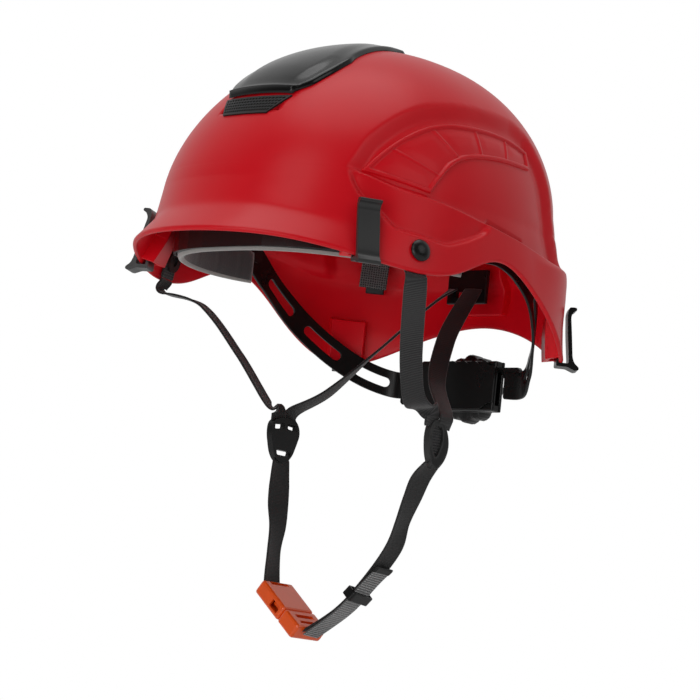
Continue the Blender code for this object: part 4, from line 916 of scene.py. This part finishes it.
def ribbonPiece(name, knots, sideways, width, wall, body, material, ribs=webbing["ribHeight"],
                taper=(1.0, 1.0), lean=0.0, **more):
    # ribs is their height, taper the width's share along the strap, lean how far its middle stands proud
    pitch = webbing["ribPitch"]
    rough, _ = pathThrough(knots, 60)
    length = np.linalg.norm(np.diff(rough, axis=0), axis=1).sum()
    count = max(12, int(length / pitch * 4) + 1)
    path, place = pathThrough(knots, count)
    sides, _ = pathThrough(sideways, count, place)
    ahead = unit(np.gradient(path, axis=0))
    side = unit(sides - ahead * (sides * ahead).sum(axis=1, keepdims=True))
    normal = np.cross(ahead, side)
    across = np.array([-1, -0.97, -0.9, -0.8, -0.5, 0, 0.5, 0.8, 0.9, 0.97, 1])
    half = wall / 2 * np.array([0.35, 0.8, 1.06, 0.92, 0.92, 0.92, 0.92, 0.92, 1.06, 0.8, 0.35])
    ribbed = np.array([0, 0, 0.25, 1, 1, 1, 1, 1, 0.25, 0, 0])
    run = np.linspace(0, length, count)
    wave = ribs / 2 * np.sin(2 * pi * run / pitch)[:, None] * ribbed
    ends = smooth(np.minimum(np.arange(count), np.arange(count)[::-1]) / 2.0)[:, None] * 0.5 + 0.5
    shape = np.interp(np.linspace(0, 1, count), np.linspace(0, 1, len(taper)), taper)[:, None]
    cup = lean * (across ** 2)[None, :]
    flat = path[:, None, :] + side[:, None, :] * (across * width / 2 * shape)[..., None]
    top = flat + normal[:, None, :] * ((half + wave) * ends + cup)[..., None]
    bottom = flat + normal[:, None, :] * ((-half + wave) * ends + cup)[..., None]
    rings = np.concatenate([top, bottom[:, ::-1]], axis=1)
    uv = np.stack(np.broadcast_arrays(np.concatenate([across, across[::-1]])[None, :] * width / 2,
                                      run[:, None]), axis=-1)
    return addPiece(name, rings.reshape(-1, 3), sweepFaces(count, 2 * len(across)), body, material,
                    cloth=uv.reshape(-1, 2), **more)


def makeUpperStraps():
    for word, side in bothSides:
        body = "strap_" + word
        origin, x, y, z = wallFrame(side * button["angle"], button["height"])
        inset = -(shell["wall"] + 0.6 + 0.5 + webbing["wall"] / 2)
        tabTop = inFrame((origin, x, y, z), (0, 6.0, inset))
        tabEnd = inFrame((origin, x, y, z), (0, 6.0 - webbing["tabLength"] - 0.3, inset))
        along, down = x * side, -y
        ribbonPiece("strapTab_" + word, [tabTop, (tabTop + tabEnd) / 2, tabEnd], [along] * 3,
                    webbing["width"], webbing["wall"], "shell", webbingBlack,
                    stands=["strap_tab_" + word], slot="webbing")
        end = np.array(webbing["divider"]) * (side, 1, 1)
        start = tabEnd + down * 0.6
        middle = ((81, -29, -49), (72, -16, -65), (66, -3, -80)) if side > 0 else \
                 ((-87, -35, -27), (-75, -11, -53), (-66, 10, -80))
        last = end + (side * 0.6, -4.5, 6.5)
        knots = [start, start + down * 8, *middle, last + (0, -1.0, 9), last]
        lay = [along, along, along, along, (side * 0.3, 0.95, 0), (0, 1, 0), (0, 1, 0)]
        ribbonPiece("frontStrap_" + word, knots, lay, webbing["width"], webbing["wall"], body,
                    webbingBlack if side > 0 else webbingPlain,
                    ribs=webbing["ribHeight" if side > 0 else "plainRib"],
                    taper=(1, 1, 1, 1, 0.96, 0.82) if side > 0 else (1, 0.9, 0.75, 0.8, 0.9, 0.85), lean=0.4,
                    stands=["front_strap_" + word], slot="webbing")
        start = np.array((side * 8.0, shell["rear"] - inner["rearDeep"] - 7.5, 9.0))
        middle = ((15, 88, -14), (23, 70, -33), (36, 51, -60)) if side > 0 else \
                 ((-16, 97, -5), (-31, 73, -35), (-48, 47, -68))
        last = end + (side * 0.6, 8.0, 6.5)
        knots = [start, *middle, last + (0, 1.0, 9), last]
        lay = [(side, 0, -0.3), (side, 0.3, -0.4), (side * 0.8, 0.7, 0), (side * 0.3, 0.95, 0),
               (0, 1, 0), (0, 1, 0)]
        ribbonPiece("rearStrap_" + word, knots, lay, webbing["rearWidth"], webbing["wall"], body,
                    webbingPlain, ribs=webbing["plainRib"], lean=-0.4,
                    stands=["rear_strap_" + word], slot="webbing")


def buckleFrame():
    along = unit((0.78, 0.0, -0.63))
    return along, frameAt(webbing["buckle"], (0, 1, 0), along)


def makeLowerStraps():
    along, _ = buckleFrame()
    centre, wide = np.array(webbing["buckle"]), (0, 1, 0)
    foot = np.array((0, 1.5, -14.5))
    top = centre - along * 24.5
    right = np.array(webbing["divider"]) * (-1, 1, 1)
    knots = [right + foot, (-61, 23, -126), (-60, 23, -142), (-58.5, 23, -156), (-59.5, 23, -172),
             top - along * 5, top]
    lay = [wide, (0.15, 1, 0), (0.3, 1, 0), (0.05, 1, 0), (-0.15, 1, 0), wide, wide]
    ribbonPiece("chinStrap_right", knots, lay, webbing["width"], webbing["wall"], "chin_right", webbingPlain,
                ribs=webbing["plainRib"], taper=(1.0, 1.06, 1, 0.97, 1, 1), lean=0.5,
                stands=["chin_strap_right"], slot="webbing")
    leave = centre + along * 15.5
    left = np.array(webbing["divider"])
    knots = [left + foot, (53.5, 24, -123), (47, 26, -134), (38, 29, -150), (31, 31, -166), (16, 30, -186),
             (0, 27, -204), leave + (0, 0, 0.6)]
    lay = [wide, (0.25, 1, 0), (0.15, 1, 0), (-0.1, 1, 0), (0.1, 1, 0), (0.05, 1, 0), wide, wide]
    ribbonPiece("chinStrap_left", knots, lay, webbing["width"], webbing["wall"], "chin_left", webbingPlain,
                ribs=webbing["plainRib"], lean=0.5, stands=["chin_strap_left"], slot="webbing")
    drop = unit((0.74, 0, -0.66)) * (webbing["wall"] + 0.6)
    run = [centre + along * 16.5 + drop * 0.8, drop + (0, 27, -204), drop + (16, 30, -186),
           drop * 1.15 + (25, 31, -177)]
    ribbonPiece("strapTail", run, [wide] * 4, webbing["width"], webbing["wall"], "chin_left", webbingGrey,
                ribs=0.3, stands=["strap_tail"], slot="webbing")
    ending = [run[2] * 0.32 + run[3] * 0.68, run[3] * 1.06 - run[2] * 0.06]
    ribbonPiece("tailEnd", [ending[0], sum(ending) / 2, ending[1]], [wide] * 3, webbing["width"] + 0.5,
                webbing["wall"] + 0.7, "chin_left", blackMatt, ribs=0.05, slot="webbing")


makeUpperStraps()
makeLowerStraps()
print("webbing ready")


# strap dividers and keeper
divider = dict(wall=4.4, edge=1.1,
               left=[(-3.5, 11), (4.5, 11), (9.5, 4), (11.5, -4), (9, -12), (3, -18.5), (-2.5, -18),
                     (-6.5, -10), (-8, 0), (-7, 7)],
               leftHole=[(-4, 7.5), (3.5, 7.5), (5.5, 0), (2.5, -9), (-0.5, -12), (-3.5, -7), (-5, 1)],
               right=[(-13, 8), (-6, 11), (9, 11), (13.5, 3), (8, -12), (3, -17), (-5, -17), (-9.5, -12),
                      (-13.5, 0)],
               rightHoles=([(-10.5, 6.5), (-1.5, 7.8), (-1.5, 4.4), (-10.5, 3.2)],
                           [(1.2, 7.8), (10, 7.2), (10, 3.8), (1.2, 4.4)],
                           [(-7.2, -9.5), (6.6, -9.5), (5.6, -12.6), (-6.2, -12.6)]))


def makeDividers():
    for word, side in bothSides:
        centre = np.array(webbing["divider"]) * (side, 1, 1) + (0, 1.5, 0)
        place = frameAt(centre, (0, 1, 0), (0, 0, 1))
        outline = roundedLoop(divider[word], 5)
        holes = [roundedLoop(divider["leftHole"], 2.2)] if side > 0 else \
                [roundedLoop(h, 1.0) for h in divider["rightHoles"]]
        flatPiece("divider_%s_frame" % word, outline, holes, divider["wall"], place, "strap_" + word,
                  blackSatin, pitch=1.3, edge=divider["edge"], stands=["divider_" + word], slot="black_gloss")
        if side > 0:  # webbing fills the left divider's ring
            core = [centre + (-0.2, 0, height) for height in (7.5, -2.5, -12.5)]
            ribbonPiece("dividerCore_left", core, [(0, 1, 0)] * 3, 9.5, 1.8, "strap_left",
                        webbingBlack, ribs=0.5, taper=(1, 1, 0.55), slot="webbing")


def makeKeeper():
    run = unit(np.array((16, 30, -186.0)) - (0, 27, -204))
    place = frameAt((9.0, 28.8, -195.6), run, (0, 1, 0))
    outer = roundedLoop([(-9.8, -4), (9.8, -4), (9.8, 4), (-9.8, 4)], 1.8)
    bore = roundedLoop([(-8.1, -2.7), (8.1, -2.7), (8.1, 2.7), (-8.1, 2.7)], 1.0)
    origin, x, y, z = place
    flatPiece("keeperBand", outer, [bore], 6.4, (origin, y, z, x), "keeper", blackSatin, pitch=1.2, edge=0.5,
              stands=["strap_keeper"], slot="black_gloss")


makeDividers()
makeKeeper()


# brow pad, crown pad and cradle
brow = dict(half=91.0, depth=125.0, power=2.4, pivotY=10.0, inset=2.6, wall=4.8, low=-8.0, top=21.0,
            rise=2.0, reach=86.0, rings=140, bulge=1.1, seam=24.0, seamDepth=0.5)
cradle = dict(width=18.0, wall=1.4, meet=112.0, padRadius=27.0,
              legs=(("front_left", 52.0, 42.0), ("front_right", -52.0, 42.0),
                    ("rear_left", 146.0, 30.0), ("rear_right", -146.0, 20.0)))


def bandPoint(angle, inset, height):
    turn = np.radians(angle)
    radius = (np.abs(np.sin(turn) / brow["half"]) ** brow["power"]
              + np.abs(np.cos(turn) / brow["depth"]) ** brow["power"]) ** (-1 / brow["power"]) - inset
    y = brow["pivotY"] - radius * np.cos(turn)
    return np.stack(np.broadcast_arrays(radius * np.sin(turn), y, height), axis=-1)


def makeBrowPad():
    angle = np.linspace(-brow["reach"], brow["reach"], brow["rings"])[:, None]
    high = brow["top"] - brow["low"]
    narrow = 0.35 * (high - 13) * (np.abs(angle) / 90) ** 4
    low = brow["low"] + brow["rise"] * (np.abs(angle) / 90) ** 2 + narrow * 0.3
    top = brow["top"] + brow["rise"] * (np.abs(angle) / 90) ** 2 - narrow * 1.7
    up = np.array([0, 0.02, 0.07, 0.14, 0.3, 0.5, 0.7, 0.86, 0.95, 0.99, 1])
    full = np.sqrt(np.clip(1 - np.abs(up * 2 - 1) ** 6, 0, 1))
    seam = brow["seamDepth"] * np.exp(-((angle * 1.75) % brow["seam"] - brow["seam"] / 2) ** 2 / 1.2)
    ends = smooth((brow["reach"] - np.abs(angle)) / 3) * 0.8 + 0.2
    innerSide = brow["inset"] + brow["wall"] / 2 + (brow["wall"] / 2 * full + brow["bulge"] * np.sin(pi * up)
                                                    - seam * np.sin(pi * up)) * ends
    outerSide = brow["inset"] + brow["wall"] / 2 - brow["wall"] / 2 * full * ends
    height = low + (top - low) * up
    inner = bandPoint(angle, innerSide, height)
    outer = bandPoint(angle, outerSide + 0 * angle, height)
    rings = np.concatenate([inner, outer[:, ::-1][:, 1:-1]], axis=1)
    piece = addPiece("browPad", rings.reshape(-1, 3), sweepFaces(*rings.shape[:2]), "shell", padCloth,
                     ["brow_pad"], "foam")
    piece.data.materials.append(padEdgePaintedLight)
    last = rings.shape[1] - 1
    for face in piece.data.polygons:  # the lower edge is painted lighter, a painted highlight for the foam's edge lit from below
        column = [i % rings.shape[1] for i in face.vertices]
        if max(column) <= 2 or min(column) >= last - 1 or (0 in column and last in column):
            face.material_index = 1


def makeCradle():
    for word, angle, height in cradle["legs"]:
        inset = shell["wall"] + 13.0
        foot = basePoint(angle, height - 12, -inset, plain=True)
        middle = basePoint(angle, 78.0, -inset, plain=True)
        high = basePoint(angle, 108.0, -inset - 4, plain=True)
        out = np.array((sin(radians(angle)), -cos(radians(angle)), 0))
        tip = np.array((0, shell["shift"], cradle["meet"])) + out * cradle["padRadius"] / 2
        side = (cos(radians(angle)), sin(radians(angle)), 0)
        ribbonPiece("cradleLeg_" + word, [foot, middle, high, tip], [side] * 4, cradle["width"],
                    cradle["wall"], "shell", meshTextile, ribs=0.1,
                    stands=["cradle_leg_" + word], slot="cradle_textile")
    r = cradle["padRadius"]
    profile = [(0.02, 5.2), (r * 0.4, 5.3), (r * 0.75, 5.0), (r - 1.5, 4.0), (r, 2.4), (r - 1.0, 0.9),
               (r * 0.75, 0.1), (r * 0.4, -0.1), (0.02, 0)]
    place = frameAt((0, shell["shift"], cradle["meet"] - 8), (1, 0, 0), (0, 1, 0))
    pad = turnedPiece("crownPad", profile, place, "shell", padCloth, stands=["crown_pad"], slot="foam")


makeBrowPad()
makeCradle()
print("pads and cradle ready")


# nape arms and the wheel adjuster
arm = dict(width=17.0, wall=1.8, slots=((0.19, 0.385), (0.46, 0.655), (0.73, 0.885)), slotHalf=3.1, pitch=1.7)
adjuster = dict(y=113.0, z=-53.0, width=62.0, height=32.0, depth=6.6, knobRadius=22.0, knobDepth=13.0,
                lobes=12, lobeHeight=1.7, faceWall=1.3)


def alongPath(knots, sideways):  # (s, t, n) to space: along, across and through a bent band
    path, place = pathThrough(knots, 300)
    sides, _ = pathThrough(sideways, 300, place)
    run = np.concatenate([[0], np.cumsum(np.linalg.norm(np.diff(path, axis=0), axis=1))])
    ahead = unit(np.gradient(path, axis=0))
    side = unit(sides - ahead * (sides * ahead).sum(axis=1, keepdims=True))
    normal = np.cross(ahead, side)

    def at(flat, through):
        pick = [np.stack([np.interp(flat[:, 0], run, part[:, k]) for k in range(3)], 1)
                for part in (path, side, normal)]
        return pick[0] + pick[1] * flat[:, 1:2] + pick[2] * through
    return at, run[-1]


def makeArms():
    x = brow["half"] + arm["wall"] / 2 + 0.3
    face = adjuster["y"] + 2.0 - arm["wall"] / 2
    for word, side in bothSides:
        middle = ((92, 30, 15), (93, 46, 10), (91, 64, -1), (84, 80, -16), (74, 94, -31), (65, 104, -43)) \
            if side > 0 else ((-92, 24, 3), (-93, 42, -9), (-90, 58, -21), (-83, 75, -33), (-73, 90, -43),
                              (-64, 103, -49))
        knots = [(side * x, 1.0, 15.0), (side * x, 10.0, 14.0), *middle, (side * 53, face - 0.6, -52.4),
                 (side * 38, face - 0.1, -53.0)]
        at, length = alongPath(knots, [(0, 0, 1)] * len(knots))
        half = arm["width"] / 2
        outline = roundedLoop([(0, -half), (length, -half), (length, half), (0, half)], [7, 2, 2, 7], steps=7)
        holes = [longSlot(a * length, b * length, arm["slotHalf"]) for a, b in arm["slots"]]
        turn = np.linspace(0, 2 * pi, 20, endpoint=False)
        holes.append(np.stack([9.05 + 3.3 * np.cos(turn), 3.3 * np.sin(turn)], axis=1))

        def sides(flat, which):
            return at(flat, which * arm["wall"] / 2)
        points, faces = plateFrom(outline, holes, arm["pitch"], sides)
        piece = addPiece("napeArm_" + word, points, faces, "nape", blackSatin, ["nape_arm_" + word],
                         "black_plastic", sharp=45)
        softenEdges(piece, 0.45, 2, 50)


def makeAdjuster():
    half, high = adjuster["width"] / 2, adjuster["height"] / 2
    across = np.linspace(-half, half, 60)
    crest = high - 2.2 + 2.0 * np.abs(np.sin(across * pi / 8.8))
    crest = crest - 3.5 * smooth((np.abs(across) - half + 7) / 7)
    foot = -high + 1.0 + 4.5 * smooth((np.abs(across) - half + 12) / 12)
    outline = np.concatenate([np.stack([across, foot], 1), np.stack([across, crest], 1)[::-1]])
    place = frameAt((0, adjuster["y"] - 0.3 - adjuster["faceWall"] / 2, adjuster["z"]), (1, 0, 0), (0, 0, 1))
    flatPiece("adjusterFace", outline, (), adjuster["faceWall"], place, "nape", blackSatin, pitch=1.3,
              edge=0.4, slot="black_plastic")


def makeWheel():
    near = adjuster["y"] + adjuster["depth"] + 0.3 + 2.0 + 0.6
    r, d = adjuster["knobRadius"], adjuster["knobDepth"]
    profile = [(5.0, d), (7.6, d), (8.6, d - 0.8), (9.2, d - 3.2), (16.2, d - 3.4), (17.4, d - 0.9),
               (19.2, d - 0.2), (21.2, d - 0.9), (r, d - 2.6), (r, 2.8), (21.3, 1.1), (19.6, 0.3), (5.0, 0.3)]
    place = frameAt((0, near, adjuster["z"]), (1, 0, 0), (0, 0, -1))
    rings, steps = [], 288
    turn = np.linspace(0, 2 * pi, steps, endpoint=False)
    dent = adjuster["lobeHeight"] * (0.5 - 0.5 * np.cos(adjuster["lobes"] * turn)) ** 1.6
    ridges = 0.12 * np.sin(72 * turn)  # fine grip lines between the lobes
    for radius, height in profile:
        wave = radius - (dent - ridges) * smooth((radius - 17) / 4)
        ring = np.stack([wave * np.cos(turn), wave * np.sin(turn), 0 * turn + height], axis=1)
        rings.append(inFrame(place, ring))
    faces = stripFaces(len(rings), steps, closed=True)
    faces += rowFaces((len(rings) - 1) * steps, 0, steps)  # the bore closes the ring of the profile
    addPiece("adjusterWheel", np.concatenate(rings), faces, "wheel", blackSatin, ["adjuster_knob"],
             "black_plastic", sharp=40)


makeArms()
makeAdjuster()
makeWheel()
print("arms and adjuster ready")


# CAD pieces that keep their shape get their finish and soft edges
keptFinish = {"buckle": (buckleOrange, 0.7), "pinion": (blackMatt, 0), "rack_tail": (blackSatin, 0.3),
              "adjuster_cover": (blackSatin, 0.3), "adjuster_housing": (blackSatin, 0.3),
              "detent_spring": (springSteel, 0.1), "anchor_washer": (blackSatin, 0.3),
              "temple_pin": (blackSatin, 0.3), "cradle_plug": (blackMatt, 0.5),
              "rear_anchor": (blackSatin, 0.5), "brow_band": (blackSatin, 0.4)}


def dressKept():
    for name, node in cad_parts.items():
        for start, (finish, edge) in keptFinish.items():
            if name.startswith(start) and not node.hide_render:
                node.data.materials.clear()
                node.data.materials.append(finish)
                if edge:
                    softenEdges(node, edge, 2, 35)


dressKept()
print("all pieces ready")
